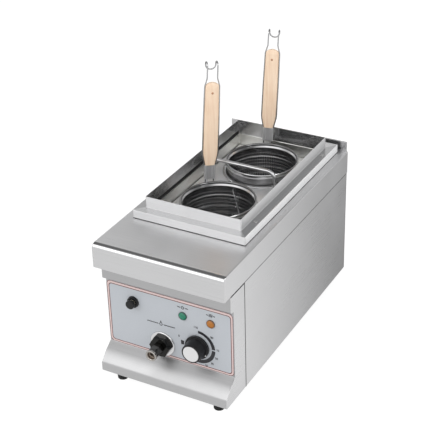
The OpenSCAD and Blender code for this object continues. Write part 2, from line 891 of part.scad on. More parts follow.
module drain_flange() {
    color("silver") on_panel(drain_x, drain_z) translate([0, 0, overlay_t]) difference() {
        union() {
            cylinder(d = drain_flange_d, h = drain_flange_t / 2);
            translate([0, 0, drain_flange_t / 2])
                cylinder(d1 = drain_flange_d, d2 = drain_flange_d - drain_flange_t, h = drain_flange_t / 2);
        }
        translate([0, 0, -cut]) cylinder(d = valve_neck_d + 2 * fit_gap, h = drain_flange_t + 2 * cut);
    }
}

module drain_nut() {
    color("dimgray") on_panel(drain_x, drain_z) translate([0, 0, nut_base]) difference() {
        hex(drain_nut_w, drain_nut_t);
        translate([0, 0, -cut]) cylinder(d = valve_neck_d + 2 * fit_gap, h = drain_nut_t + 2 * cut);
    }
}

// Valve body: neck through the panel, seat with one port, and the socket for the drain pipe
module drain_valve() {
    valve_back = back_face - valve_body_l;
    socket_z = valve_seat - valve_seat_t;
    color("peru") on_panel(drain_x, drain_z) difference() {
        union() {
            translate([0, 0, valve_back]) cylinder(d = valve_body_d, h = valve_body_l);
            translate([0, 0, back_face]) cylinder(d = valve_neck_d, h = nut_top - cut - back_face);
        }
        translate([0, 0, valve_seat]) cylinder(d = spigot_d + 2 * run_gap, h = nut_top - valve_seat + cut);
        translate([-drain_port_off, 0, socket_z - cut])
            cylinder(d = drain_port_d, h = valve_seat_t + 2 * cut);
        translate([0, 0, valve_back - cut])
            cylinder(d = drain_pipe_d + 2 * fit_gap, h = socket_z - valve_back + cut);
    }
}

spout_ring_l = 5;
spout_ring_w = 1;
spigot_wall = 2.5;
spout_shoulder = 2;

// Turning spout: its end wall has a port that meets the seat's port after a quarter turn
module drain_spout() {
    spigot_z = valve_seat + rest_gap;
    hex_z = nut_top + rest_gap;
    color("silver") on_panel(drain_x, drain_z) difference() {
        union() {
            translate([0, 0, spigot_z]) cylinder(d = spigot_d, h = hex_z - spigot_z);
            translate([0, 0, hex_z]) hex(spout_w, spout_out - spout_ring_l - hex_z);
            translate([0, 0, spout_out - spout_ring_l])
                cylinder(d = spout_w + 2 * spout_ring_w, h = spout_ring_l);
        }
        translate([0, 0, spigot_z + valve_seat_t])
            cylinder(d = spigot_d - 2 * spigot_wall, h = spout_out - spigot_z);
        translate([0, 0, hex_z + spout_shoulder]) cylinder(d = spout_bore_d, h = spout_out);
        translate([0, drain_port_off, spigot_z - cut]) cylinder(d = drain_port_d, h = valve_seat_t + 2 * cut);
    }
}

module drain_pipe() {
    pipe_y0 = panel_y - valve_seat + valve_seat_t;
    pipe_l = tank_y0 - pipe_y0;
    color("peru") translate([drain_x, pipe_y0, drain_z]) rotate([-90, 0, 0]) difference() {
        cylinder(d = drain_pipe_d, h = pipe_l);
        translate([0, 0, -cut]) cylinder(d = drain_pipe_d - 2 * drain_pipe_wall, h = pipe_l + 2 * cut);
    }
}

// Heater

module heater() {
    stud_y = tank_y0 - heater_shank_l;
    color("dimgray") translate([0, 0, heater_z]) {
        both_sides() {
            rod([heater_outer_x, stud_y, 0], [heater_outer_x, heater_rear_y, 0], heater_d);
            rod([heater_outer_x, stud_y - heater_stud_l, 0], [heater_outer_x, stud_y, 0], heater_stud_d);
            translate([heater_outer_x - heater_bend_r, heater_rear_y, 0])
                bend(heater_bend_r, heater_d, 0, 180);
            rod([heater_inner_x, heater_rear_y, 0], [heater_inner_x, heater_front_y, 0], heater_d);
        }
        translate([0, heater_front_y, 0]) bend(heater_inner_x, heater_d, 180, 180);
    }
}

module heater_nuts() {
    color("silver") for (x = [-1, 1])
        translate([x * heater_outer_x, tank_y0, heater_z]) rotate([90, 0, 0]) difference() {
            hex(2 * heater_nut_r * cos(30), heater_nut_t);
            translate([0, 0, -cut]) cylinder(d = heater_d + 2 * fit_gap, h = heater_nut_t + 2 * cut);
        }
}

heater_support_t = 4;
heater_support_off = 40;

module heater_support() {
    y = heater_rear_y - heater_support_off;
    top_z = heater_z - heater_d / 2 - fit_gap;
    color("silver") box(-tank_in_x, tank_in_x, y, y + heater_support_t, tank_floor_z, top_z);
}

// Mains side

block_rib_t = 3;
block_ways = 3;

module terminal_block() {
    way = block[0] / block_ways;
    color("ivory") translate([gland_x - block[0] / 2, block_y - block[1], floor_sheet_z]) {
        cube([block[0], block[1], block[2] / 2]);
        for (i = [0 : block_ways])
            translate([i * way - (i == 0 ? 0 : i == block_ways ? block_rib_t : block_rib_t / 2), 0, 0])
                cube([block_rib_t, block[1], block[2]]);
    }
}

// Lead from the terminal block along a lane on the base plate and up to a control's back
module control_lead(way, x, control_x, control_z) {
    block_face_y = block_y - block[1];
    way_x = gland_x + way * lead_pitch;
    bent_lead([
        [way_x, block_face_y, lead_lane_z], [way_x, block_face_y - lane_run_in, lead_lane_z],
        [x, block_face_y - lane_run_in, lead_lane_z], [x, lane_turn_y, lead_lane_z],
        [x, lane_turn_y, control_z], [control_x, lane_turn_y, control_z],
        [control_x, control_back_y, control_z]
    ]);
}

// Lead from the terminal block along a lane on the base plate and up to a heater stud
module heater_lead(way, x, stud_x) {
    block_face_y = block_y - block[1];
    way_x = gland_x + way * lead_pitch;
    rise_y = stud_end_y - stud_lead_gap;
    bent_lead([
        [way_x, block_face_y, lead_lane_z], [way_x, block_face_y - 2 * lane_run_in, lead_lane_z],
        [x, block_face_y - 2 * lane_run_in, lead_lane_z], [x, rise_y, lead_lane_z],
        [x, rise_y, heater_z], [stud_x, rise_y, heater_z],
        [stud_x, stud_end_y, heater_z]
    ]);
}

// Lead along points at right angles to each other, with round bends
module bent_lead(points) {
    last = len(points) - 1;
    r = lead_bend_r;
    for (i = [0 : last - 1]) {
        u = unit(points[i + 1] - points[i]);
        rod(points[i] + (i == 0 ? 0 : r) * u, points[i + 1] - (i == last - 1 ? 0 : r) * u, lead_d);
    }
    for (i = [1 : last - 1]) {
        u = unit(points[i] - points[i - 1]);
        v = unit(points[i + 1] - points[i]);
        w = cross(u, v);
        c = points[i] - r * u + r * v;
        multmatrix([[-v[0], u[0], w[0], c[0]], [-v[1], u[1], w[1], c[1]], [-v[2], u[2], w[2], c[2]]])
            bend(r, lead_d, 0, 90);
    }
}

module wiring() {
    color("sienna") {
        control_lead(1.5, lane_x, knob_x + lead_pitch, knob_z);
        heater_lead(0.5, lane_x - lead_pitch, heater_outer_x);
        heater_lead(-0.5, lead_pitch - lane_x, -heater_outer_x);
        control_lead(-1.5, -lane_x, reset_x - lead_pitch, lamp_z);
    }
}

gland_thread_d = 20;
gland_hex_w = 24;
gland_hex_t = 6;
gland_nut_t = 4;
gland_thread_l = 12;
gland_dome_d = 21;
gland_bore_step = 1;

module cable_gland() {
    color("black") on_rear(gland_x, base_z + gland_rise) difference() {
        union() {
            hex(gland_hex_w, gland_hex_t);
            cylinder(d = gland_dome_d, h = gland_out);
            translate([0, 0, -gland_thread_l]) cylinder(d = gland_thread_d, h = gland_thread_l);
        }
        translate([0, 0, -cut]) cylinder(d = gland_bore_d, h = gland_out + 2 * cut);
        translate([0, 0, -gland_thread_l - cut])
            cylinder(d = gland_bore_d + gland_bore_step, h = gland_thread_l + cut);
    }
}

module gland_locknut() {
    color("black") on_rear(gland_x, base_z + gland_rise) translate([0, 0, -sheet - gland_nut_t])
        difference() {
            hex(gland_hex_w, gland_nut_t);
            translate([0, 0, -cut]) cylinder(d = gland_thread_d + 2 * fit_gap, h = gland_nut_t + 2 * cut);
        }
}

// Basket plate

module basket_plate() {
    x = tank_in_x - plate_gap;
    y0 = tank_y0 + tank_wall + plate_gap;
    y1 = tank_y1 - tank_wall - plate_gap;
    color("silver") difference() {
        box(-x, x, y0, y1, plate_z - plate_edge_h, plate_z);
        box(-x + plate_t, x - plate_t, y0 + plate_t, y1 - plate_t,
            plate_z - plate_edge_h - cut, plate_z - plate_t);
        for (y = [front_basket_y, rear_basket_y])
            translate([0, y, plate_z - plate_t - cut]) cylinder(r = hole_r, h = plate_t + 2 * cut);
    }
}

module lift_bar() {
    leg_x = lift_bar_l / 2;
    bar_z = lift_bar_h - lift_bar_d / 2;
    color("whitesmoke") translate([0, tank_mid_y, plate_z]) {
        both_sides() {
            rod([leg_x, 0, 0], [leg_x, 0, bar_z - lift_bar_bend], lift_bar_d);
            translate([leg_x - lift_bar_bend, 0, bar_z - lift_bar_bend]) rotate([90, 0, 0])
                bend(lift_bar_bend, lift_bar_d, 0, 90);
        }
        rod([-leg_x + lift_bar_bend, 0, bar_z], [leg_x - lift_bar_bend, 0, bar_z], lift_bar_d);
    }
}

// Baskets

module basket_place(y, turn) {
    translate([0, y, 0]) rotate([0, 0, turn]) children();
}

// Cup outline in radius and height, with a round bottom edge
module cup_outline(r, z0, z1, edge_r) {
    translate([0, z0]) square([r - edge_r, z1 - z0]);
    translate([0, z0 + edge_r]) square([r, z1 - z0 - edge_r]);
    translate([r - edge_r, z0 + edge_r]) circle(edge_r);
}

module basket_wall_solid() {
    top_z = rim_z - rim_wire_d;
    outer_r = basket_d / 2;
    color("darkgray") rotate_extrude() difference() {
        cup_outline(outer_r, basket_z, top_z, basket_bottom_r);
        cup_outline(outer_r - basket_wall, basket_z + basket_wall, top_z + cut,
            basket_bottom_r - basket_wall);
    }
}

// Rim wire, band below it, and the ring that rests on the plate
module basket_rim_solid() {
    ring_z = plate_z + rest_gap;
    color("silver") rotate_extrude() {
        translate([rim_ring_r, rim_z - rim_wire_d / 2]) circle(d = rim_wire_d);
        translate([band_r, ring_z]) square([band_t, rim_z - rim_wire_d / 2 - ring_z]);
        translate([band_r, ring_z]) square([stop_ring_w, stop_ring_t]);
    }
}

// Handle pieces stand behind the rim: x along the rim, y outwards, z up from the rim's wire
module handle_place() {
    translate([0, handle_r, handle_z]) rotate([0, handle_lean, 0]) children();
}

module ferrule_solid() {
    color("gray") handle_place() translate([0, 0, ferrule_z]) difference() {
        linear_extrude(ferrule_l) {
            square([ferrule_spacing, ferrule_t], center = true);
            for (x = [-1, 1]) translate([x * ferrule_spacing / 2, 0]) circle(d = ferrule_t);
        }
        for (x = [-1, 1]) translate([x * ferrule_spacing / 2, 0, -cut])
            cylinder(d = wire_d + 2 * fit_gap, h = ferrule_l + 2 * cut);
    }
}

// Right-hand wire of the handle, as x and z along the grip's edge
wire_line = [
    [ferrule_spacing / 2, wire_foot_z],
    [ferrule_spacing / 2, grip_z],
    [grip_spacing / 2, taper_z],
    [grip_spacing / 2, (taper_z + crown_z) / 2],
    [shoulder_spacing / 2, crown_z],
    [neck_spacing / 2, neck_z],
    [neck_spacing / 2, fold_z]
];

// Edge of the wood beside the wires, closed by a round crown
module grip_solid() {
    edge = [for (i = [1 : 4]) wire_line[i] - [wire_side, 0]];
    half = edge[3][0];
    crown = [for (a = [10 : 10 : 90]) [half * cos(a), crown_z + crown_l * sin(a)]];
    right = concat(edge, crown);
    left = [for (i = [len(right) - 2 : -1 : 0]) [-right[i][0], right[i][1]]];
    color("burlywood") handle_place() difference() {
        along_y(-grip_t / 2, grip_t / 2) polygon(concat(right, left));
        pin_place() cylinder(d = pin_d + 2 * fit_gap, h = grip_t + 2 * cut, center = true);
    }
}

module pin_place() {
    translate([0, 0, crown_z - pin_below]) rotate([90, 0, 0]) children();
}

module grip_pin_solid() {
    color("peru") handle_place() pin_place() cylinder(d = pin_d, h = grip_t + 2 * pin_proud, center = true);
}

// One wire up both edges of the grip, folded over at the top into a hook
module handle_wire_solid() {
    leg = [for (p = wire_line) [p[0], 0, p[1]]];
    color("gray") handle_place() {
        both_sides() {
            bent_rod(leg, wire_d, fit_gap);
            translate([neck_spacing / 2, fold_r, fold_z]) rotate([90, 0, 90]) bend(fold_r, wire_d, 0, 180);
        }
        translate([0, 2 * fold_r, fold_z]) rotate([90, 0, 0]) bend(neck_spacing / 2, wire_d, 180, 180);
    }
}

module front_basket_wall() {
    basket_place(front_basket_y, front_turn) basket_wall_solid();
}

module front_basket_rim() {
    basket_place(front_basket_y, front_turn) basket_rim_solid();
}

module front_basket_ferrule() {
    basket_place(front_basket_y, front_turn) ferrule_solid();
}

module front_basket_grip() {
    basket_place(front_basket_y, front_turn) grip_solid();
}

module front_basket_wire() {
    basket_place(front_basket_y, front_turn) handle_wire_solid();
}

module front_basket_pin() {
    basket_place(front_basket_y, front_turn) grip_pin_solid();
}

module rear_basket_wall() {
    basket_place(rear_basket_y, rear_turn) basket_wall_solid();
}

module rear_basket_rim() {
    basket_place(rear_basket_y, rear_turn) basket_rim_solid();
}

module rear_basket_ferrule() {
    basket_place(rear_basket_y, rear_turn) ferrule_solid();
}

module rear_basket_grip() {
    basket_place(rear_basket_y, rear_turn) grip_solid();
}

module rear_basket_wire() {
    basket_place(rear_basket_y, rear_turn) handle_wire_solid();
}

module rear_basket_pin() {
    basket_place(rear_basket_y, rear_turn) grip_pin_solid();
}

worktop();
backsplash();
tank_surround();
tank_collar();
surround_screws();
tank();
plate_supports();
front_fascia();
left_cheek();
right_cheek();
control_overlay();
left_side_panel();
right_side_panel();
rear_panel();
rear_panel_screws();
base_plate();
feet();
foot_screws();
foot_nuts();
thermostat();
thermostat_shaft();
thermostat_knob();
knob_disc();
thermostat_probe();
limiter();
reset_bezel();
reset_button();
limiter_probe();
capillaries();
green_lamp();
orange_lamp();
lamp_holders();
drain_flange();
drain_nut();
drain_valve();
drain_spout();
drain_pipe();
heater();
heater_nuts();
heater_support();
terminal_block();
wiring();
cable_gland();
gland_locknut();
basket_plate();
lift_bar();
front_basket_wall();
front_basket_rim();
front_basket_ferrule();
front_basket_grip();
front_basket_wire();
front_basket_pin();
rear_basket_wall();
rear_basket_rim();
rear_basket_ferrule();
rear_basket_grip();
rear_basket_wire();
rear_basket_pin();
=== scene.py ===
"""Looks of a counter-top pasta cooker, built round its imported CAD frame. Lengths are in metres."""

import json
import math

import bmesh
import bpy
import numpy as np
from mathutils import Matrix, Vector

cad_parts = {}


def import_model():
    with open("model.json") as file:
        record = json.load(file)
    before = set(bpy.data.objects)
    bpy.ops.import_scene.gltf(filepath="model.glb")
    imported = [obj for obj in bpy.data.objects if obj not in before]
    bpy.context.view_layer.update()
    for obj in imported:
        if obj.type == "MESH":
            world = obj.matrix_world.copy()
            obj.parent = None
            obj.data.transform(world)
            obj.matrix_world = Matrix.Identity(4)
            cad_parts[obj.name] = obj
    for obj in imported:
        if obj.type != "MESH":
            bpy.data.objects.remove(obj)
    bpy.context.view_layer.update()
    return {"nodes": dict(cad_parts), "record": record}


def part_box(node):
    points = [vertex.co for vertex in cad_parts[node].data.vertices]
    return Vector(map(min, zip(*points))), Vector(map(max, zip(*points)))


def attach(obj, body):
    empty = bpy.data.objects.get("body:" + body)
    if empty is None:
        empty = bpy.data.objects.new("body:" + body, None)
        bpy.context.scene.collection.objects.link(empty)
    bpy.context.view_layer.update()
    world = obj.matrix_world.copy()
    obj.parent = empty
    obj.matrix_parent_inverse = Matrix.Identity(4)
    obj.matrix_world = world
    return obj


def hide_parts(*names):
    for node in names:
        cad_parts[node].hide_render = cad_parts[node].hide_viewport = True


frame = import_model()

# Thicknesses and fits that more than one piece uses
SHEET = 0.00125
FOLD_SHEET = 0.0006
CUT_EDGE = 0.0004
# How far the painted shade strips stand off the faces they lie on
SHADE_STRIP_PROUD = 0.0001
HAIR = 0.00005

# Front: how far the header stands back from the lip, heights from the header's foot down, and the overlay
HEADER_BACK = 0.0265
HEADER_FOOT, PANEL_TOP, SLOPE_TOP, SLOPE_FOOT = 0.2405, 0.2385, 0.0795, 0.047
OVERLAY_T = 0.0006
PRINT_Z = OVERLAY_T + HAIR

# Baskets: the turn of each handle, and the angles at the top and the foot of the seam inside the wall
BASKETS = {"front": 42.0, "rear": 18.0}
SEAMS = {"front": (94.6, 60.0), "rear": None}

# Basket walls: holes in a row, a hole's radius in cells, the ribs' spacing and depth, the inside's offset
COLUMNS = 88
HOLE = 0.26
RIB, PRESSED = 0.0082, 0.00142
INSIDE_WALL = 0.0012

# Basket rims: the hoop's wire, the band, the stop ring, and the foot of the bevel below the top
RIM_WIRE_R = 0.002
BAND_T = 0.0015
STOP_W = 0.011
STOP_T = 0.003
BEVEL_FOOT = 0.0096

# Handles: lean in degrees, place of their origin at the rim, and heights and half widths from that origin
HANDLE_LEAN = 3.2
HANDLE_Z = 0.345
WIRE_R = 0.0015
WIRE_REACH = 0.08355
WIRE_FOOT, FERRULE_Z, GRIP_Z, TAPER_Z = -0.0225, 0.008, 0.0415, 0.068
CROWN_Z, GRIP_TOP, NECK_Z, FOLD_Z = 0.223, 0.232, 0.241, 0.265
FERRULE_X, GRIP_FOOT_X, GRIP_X, SHOULDER_X, NECK_X = 0.009, 0.0116, 0.017, 0.016, 0.011
HANDLE_RADIUS = math.sqrt(WIRE_REACH ** 2 - FERRULE_X ** 2)
FOLD_R = 0.009
PIN_BELOW = 0.014

# Shapes: a shape is an array of points and a list of face tables


def low_high(node):
    """Lowest and highest corner of a CAD node."""
    low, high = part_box(node)
    return np.array(low), np.array(high)


def quads(rows, columns, ring=False):
    """Faces between neighbours in a grid of points kept row by row. A ring joins each row's last point to its
    first one."""
    index = np.arange(rows * columns).reshape(rows, columns)
    after = np.roll(index, -1, axis=1)
    faces = np.stack([index[:-1], after[:-1], after[1:], index[1:]], axis=-1)
    faces = faces if ring else faces[:, :-1]
    return faces.reshape(-1, 4)


def joined(*shapes):
    """Several shapes as one: the points in a row, and each face table moved on by the points before it."""
    starts = np.cumsum([0] + [len(points) for points, _ in shapes])
    points = np.concatenate([points for points, _ in shapes])
    return points, [table + start for start, (_, tables) in zip(starts, shapes) for table in tables]


def moved(shape, matrix):
    """The shape with each point taken through a 4 by 4 matrix."""
    points, tables = shape
    matrix = np.array(matrix)
    return points @ matrix[:3, :3].T + matrix[:3, 3], tables


def flipped(shape):
    """The shape seen from its other side: each face runs the other way round."""
    points, tables = shape
    return points, [table[:, ::-1] for table in tables]


def arc(start, stop, steps):
    """Cosines and sines at even angles from start to stop, in degrees."""
    angle = np.radians(np.linspace(start, stop, steps + 1))
    return np.cos(angle), np.sin(angle)


def rounded(corners, radius, steps=6, closed=False):
    """Line through corner points, each corner replaced by a circular arc that touches both sides.
    The arc's points are c + (a sin((1 - s) w) + b sin(s w)) / sin w, where a and b point from its centre c
    to its ends, w is the angle between them and s runs from 0 to 1. Works in the plane and in space."""
    corners = np.asarray(corners, float)
    count = len(corners)
    radii = np.broadcast_to(radius, count)
    line = []
    for i in range(count):
        here = corners[i]
        if radii[i] == 0 or (not closed and i in (0, count - 1)):
            line.append(here[None])
            continue
        back = corners[i - 1] - here
        ahead = corners[(i + 1) % count] - here
        back = back / np.linalg.norm(back)
        ahead = ahead / np.linalg.norm(ahead)
        sweep = np.pi - np.arccos(np.clip(back @ ahead, -1, 1))
        if sweep < 1e-4:
            line.append(here[None])
            continue
        reach = radii[i] * np.tan(sweep / 2)
        middle = here + (back + ahead) / np.linalg.norm(back + ahead) * radii[i] / np.cos(sweep / 2)
        first = here + back * reach - middle
        last = here + ahead * reach - middle
        share = np.linspace(0, 1, steps + 1)[:, None]
        bow = np.sin((1 - share) * sweep) * first + np.sin(share * sweep) * last
        line.append(middle + bow / np.sin(sweep))
    return np.concatenate(line)


def beside(line, distance, closed=False):
    """Plane line moved to its left: at a corner between sides with normals a and b the shift is
    (a + b) / (1 + a.b) times the distance, so that both sides keep that distance."""
    line = np.asarray(line, float)
    ahead = np.diff(np.vstack([line, line[:1]]) if closed else line, axis=0)
    normal = np.stack([-ahead[:, 1], ahead[:, 0]], axis=1) / np.linalg.norm(ahead, axis=1, keepdims=True)
    before = np.roll(normal, 1, axis=0) if closed else np.vstack([normal[:1], normal])
    after = normal if closed else np.vstack([normal, normal[-1:]])
    return line + distance * (before + after) / (1 + np.sum(before * after, axis=1, keepdims=True))


def at_height(line, z):
    """Plane line put at a height."""
    return np.column_stack([line, np.full(len(line), z)])


def extruded(outline, low, high, edge=0.0, steps=3):
    """Prism over a closed counter-clockwise outline. Each end edge is a quarter circle: at its angle a the
    outline is moved in by edge (1 - sin a) and up from the end by edge (1 - cos a)."""
    outline = np.asarray(outline, float)
    angle = np.linspace(0, np.pi / 2, steps + 1) if edge > 0 else np.array([np.pi / 2])
    inset = edge * (1 - np.sin(angle))
    rise = edge * (1 - np.cos(angle))
    levels = np.concatenate([low + rise, (high - rise)[::-1]])
    insets = np.concatenate([inset, inset[::-1]])
    rows = [at_height(beside(outline, d, True), z) for d, z in zip(insets, levels)]
    return stacked(rows, caps=True)


def stacked(rows, caps=False):
    """Surface over loops of equally many points, one after the other. Caps close both ends."""
    count = len(rows[0])
    points = np.concatenate(rows)
    tables = [quads(len(rows), count, True)]
    if caps:
        first = np.arange(count)[::-1]
        tables += [first[None], (len(points) - count + np.arange(count))[None]]
    return points, tables


def turned(profile, steps):
    """Surface turned about the z axis: a profile point (r, z) becomes the circle (r cos a, r sin a, z)."""
    profile = np.asarray(profile, float)
    angle = np.linspace(0, 2 * np.pi, steps, endpoint=False)
    x = np.outer(profile[:, 0], np.cos(angle))
    y = np.outer(profile[:, 0], np.sin(angle))
    z = np.repeat(profile[:, 1:2], steps, axis=1)
    return np.stack([x, y, z], axis=-1).reshape(-1, 3), [quads(len(profile), steps, True)]


def tube(path, radius, sides=16):
    """Round rod along a path in space. The ring at each point stands across the path; its first axis is the
    last ring's, less its part along the path, so that the rings don't twist."""
    path = np.asarray(path, float)
    along = np.gradient(path, axis=0)
    along /= np.linalg.norm(along, axis=1, keepdims=True)
    spare = np.eye(3)[np.argmin(np.abs(along[0]))]
    cos, sin = arc(0, 360 - 360 / sides, sides - 1)
    rows = []
    for point, forward in zip(path, along):
        spare = spare - forward * (spare @ forward)
        spare = spare / np.linalg.norm(spare)
        other = np.cross(forward, spare)
        rows.append(point + radius * (cos[:, None] * spare + sin[:, None] * other))
    return stacked(rows, caps=True)


def rectangle(x0, x1, y0, y1, radius, steps=5):
    """Counter-clockwise rectangle with rounded corners."""
    return rounded([[x1, y0], [x1, y1], [x0, y1], [x0, y0]], radius, steps, closed=True)


def lofted_frame(levels, radius, steps=5):
    """Surface over rounded rectangles. Each is given as x0, x1, y0, y1, z and what its corners add to the
    radius."""
    rows = []
    for x0, x1, y0, y1, z, more in levels:
        rows.append(at_height(rectangle(x0, x1, y0, y1, max(radius + more, 1e-5), steps), z))
    return stacked(rows)


def level(low, high, grow, z, more=0.0):
    """Rectangle for a lofted frame: the one between two corners, grown to all sides, at a height."""
    return low[0] - grow, high[0] + grow, low[1] - grow, high[1] + grow, z, more


def upright(x, y0, y1, z0, z1):
    """Oblong face across the x axis."""
    return np.array([[x, y0, z0], [x, y1, z0], [x, y1, z1], [x, y0, z1]]), [np.arange(4)[None]]


def hexed(across, levels, steps=96):
    """Hexagonal bar about the z axis, turned down by cones: at angle a and level (z, cap) its radius is the
    smaller of cap and across / 2 / cos(a mod 60 - 30 degrees)."""
    angle = np.arange(steps) * 360 / steps
    side = across / 2 / np.cos(np.radians(angle % 60 - 30))
    circle = np.column_stack([np.cos(np.radians(angle)), np.sin(np.radians(angle))])
    return stacked([at_height(np.minimum(side, cap)[:, None] * circle, z) for z, cap in levels])


def ribbon(path, width, height, closed=False):
    """Flat strip in the x, y plane: the path moved half the width to each side."""
    half = np.asarray(width) / 2
    rows = [at_height(beside(path, distance, closed), height) for distance in (-half, half)]
    return np.concatenate(rows), [quads(2, len(path), closed)]


def round_edge(r0, z0, r1, z1, steps=5):
    """Quarter of an ellipse in a turned profile: from (r0, z0), where it runs along z, to (r1, z1), where it
    runs along r."""
    cos, sin = arc(0, 90, steps)
    return np.column_stack([r1 + (r0 - r1) * cos, z0 + (z1 - z0) * sin])


ALONG_X = Matrix(((0, 0, 1, 0), (1, 0, 0, 0), (0, 1, 0, 0), (0, 0, 0, 1)))
PANEL_Y = low_high("control_overlay")[1][1]
REAR_Y = low_high("rear_panel")[1][1]


def on_panel(x, z):
    """Place on the control panel: x to the right, y up and z out to the front."""
    return Matrix(((1, 0, 0, x), (0, 0, -1, PANEL_Y), (0, 1, 0, z), (0, 0, 0, 1)))


def on_rear(x, z):
    """Place on the rear panel: z out to the rear."""
    return Matrix(((1, 0, 0, x), (0, 0, 1, REAR_Y), (0, -1, 0, z), (0, 0, 0, 1)))


def parted(shape, test):
    """Two shapes out of one: the faces whose middle passes the test, and the others."""
    points, tables = shape
    passed = [test(points[table].mean(axis=1)) for table in tables]
    parts = []
    for wanted in (True, False):
        kept = [table[mask == wanted] for table, mask in zip(tables, passed)]
        used = np.unique(np.concatenate([table.ravel() for table in kept]))
        kept = [np.searchsorted(used, table) for table in kept if len(table)]
        parts.append((points[used], kept))
    return parts


def mirrored(shape):
    """The shape's image on the other side of the plane x = 0."""
    points, tables = shape
    return flipped((points * np.array([-1, 1, 1]), tables))


# Materials


def link(tree, source, target):
    """Joins an output socket to an input socket."""
    tree.links.new(source, target)


def node_in(tree, kind, inputs=None, **settings):
    """A new node with its settings, and its inputs set to values or joined to other nodes' outputs."""
    node = tree.nodes.new(kind)
    for key, value in settings.items():
        setattr(node, key, value)
    for key, value in (inputs or {}).items():
        if isinstance(value, bpy.types.NodeSocket):
            link(tree, value, node.inputs[key])
        else:
            node.inputs[key].default_value = value
    return node


def new_group(name, inputs, outputs):
    """Shader node group with the named sockets: the group, its inputs and its output node."""
    tree = bpy.data.node_groups.new(name, "ShaderNodeTree")
    for socket, kind in inputs:
        tree.interface.new_socket(socket, in_out="INPUT", socket_type=kind)
    for socket, kind in outputs:
        tree.interface.new_socket(socket, in_out="OUTPUT", socket_type=kind)
    return tree, tree.nodes.new("NodeGroupInput").outputs, tree.nodes.new("NodeGroupOutput").inputs


VECTOR, COLOR, FLOAT = "NodeSocketVector", "NodeSocketColor", "NodeSocketFloat"
LOOK = [("Color", COLOR), ("Roughness", FLOAT), ("Height", FLOAT)]


def ranged(tree, value, low, high, to_low, to_high):
    """Map Range node's output: value from low..high to to_low..to_high."""
    given = {"Value": value, "From Min": low, "From Max": high, "To Min": to_low, "To Max": to_high}
    return node_in(tree, "ShaderNodeMapRange", given).outputs["Result"]


def summed(tree, first, second, operation="ADD"):
    """Math node's output for two values."""
    return node_in(tree, "ShaderNodeMath", {0: first, 1: second}, operation=operation).outputs[0]


def stretched(tree, vector, factors):
    """Vector Math node's output: a vector times a factor for each axis."""
    return node_in(tree, "ShaderNodeVectorMath", {0: vector, 1: factors}, operation="MULTIPLY").outputs[0]


def shaded(tree, base, shade):
    """Vector Math node's output: a colour times a shade."""
    return node_in(tree, "ShaderNodeVectorMath", {0: base, "Scale": shade}, operation="SCALE").outputs[0]


def noise(tree, vector, scale, detail, distortion=0.0):
    """Noise Texture node's value."""
    given = {"Vector": vector, "Scale": scale, "Detail": detail, "Distortion": distortion}
    return node_in(tree, "ShaderNodeTexNoise", given).outputs[0]


def brushed_group():
    """Brushed metal: noise drawn out along one axis shades, roughens and scores it in fine lines, and wide
    soft noise leaves wiped patches that are a little rougher."""
    inputs = [("Vector", VECTOR), ("Stretch", VECTOR), ("Base", COLOR), ("Rough", FLOAT)]
    tree, given, result = new_group("brushed metal", inputs, LOOK)
    lines = noise(tree, stretched(tree, given["Vector"], given["Stretch"]), 1.0, 4.0)
    patches = noise(tree, given["Vector"], 11.0, 3.0)
    shade = ranged(tree, lines, 0.3, 0.7, 0.95, 1.05)
    scored = ranged(tree, lines, 0.3, 0.7, -0.03, 0.04)
    wiped = ranged(tree, patches, 0.4, 0.65, -0.02, 0.05)
    link(tree, shaded(tree, given["Base"], shade), result["Color"])
    link(tree, summed(tree, summed(tree, given["Rough"], scored), wiped), result["Roughness"])
    link(tree, lines, result["Height"])
    return tree


def polished_group():
    """Polished or moulded surface: fine even noise for its grain and wide noise for finger marks."""
    inputs = [("Vector", VECTOR), ("Grain", FLOAT), ("Base", COLOR), ("Rough", FLOAT), ("Marks", FLOAT)]
    tree, given, result = new_group("smooth surface", inputs, LOOK)
    fine = noise(tree, given["Vector"], given["Grain"], 2.0)
    wide = noise(tree, given["Vector"], 45.0, 4.0)
    shade = ranged(tree, fine, 0.3, 0.7, 0.96, 1.04)
    marks = summed(tree, ranged(tree, wide, 0.45, 0.7, 0.0, 1.0), given["Marks"], "MULTIPLY")
    link(tree, shaded(tree, given["Base"], shade), result["Color"])
    link(tree, summed(tree, given["Rough"], marks), result["Roughness"])
    link(tree, fine, result["Height"])
    return tree


def wood_group():
    """Wood: noise drawn out along the handle gives the grain, finer noise the pores, wide noise the tone."""
    inputs = [("Vector", VECTOR), ("Light", COLOR), ("Dark", COLOR), ("Rough", FLOAT)]
    tree, given, result = new_group("wood", inputs, LOOK)
    grain = noise(tree, stretched(tree, given["Vector"], (160, 160, 7)), 1.0, 5.0, 0.6)
    pores = noise(tree, stretched(tree, given["Vector"], (1800, 1800, 60)), 1.0, 2.0)
    tone = noise(tree, given["Vector"], 22.0, 2.0)
    streak = ranged(tree, grain, 0.42, 0.72, 0.0, 0.75)
    dots = ranged(tree, pores, 0.55, 0.75, 0.0, 0.3)
    cloud = ranged(tree, tone, 0.4, 0.7, 0.0, 0.3)
    relief = summed(tree, streak, dots)
    mixed = node_in(tree, "ShaderNodeMix", {"Factor": summed(tree, relief, cloud)}, data_type="RGBA")
    link(tree, given["Light"], mixed.inputs[6])
    link(tree, given["Dark"], mixed.inputs[7])
    rough = summed(tree, given["Rough"], ranged(tree, grain, 0.3, 0.7, -0.04, 0.08))
    link(tree, mixed.outputs[2], result["Color"])
    link(tree, rough, result["Roughness"])
    link(tree, relief, result["Height"])
    return tree


BRUSHED = brushed_group()
SMOOTH = polished_group()
WOOD = wood_group()


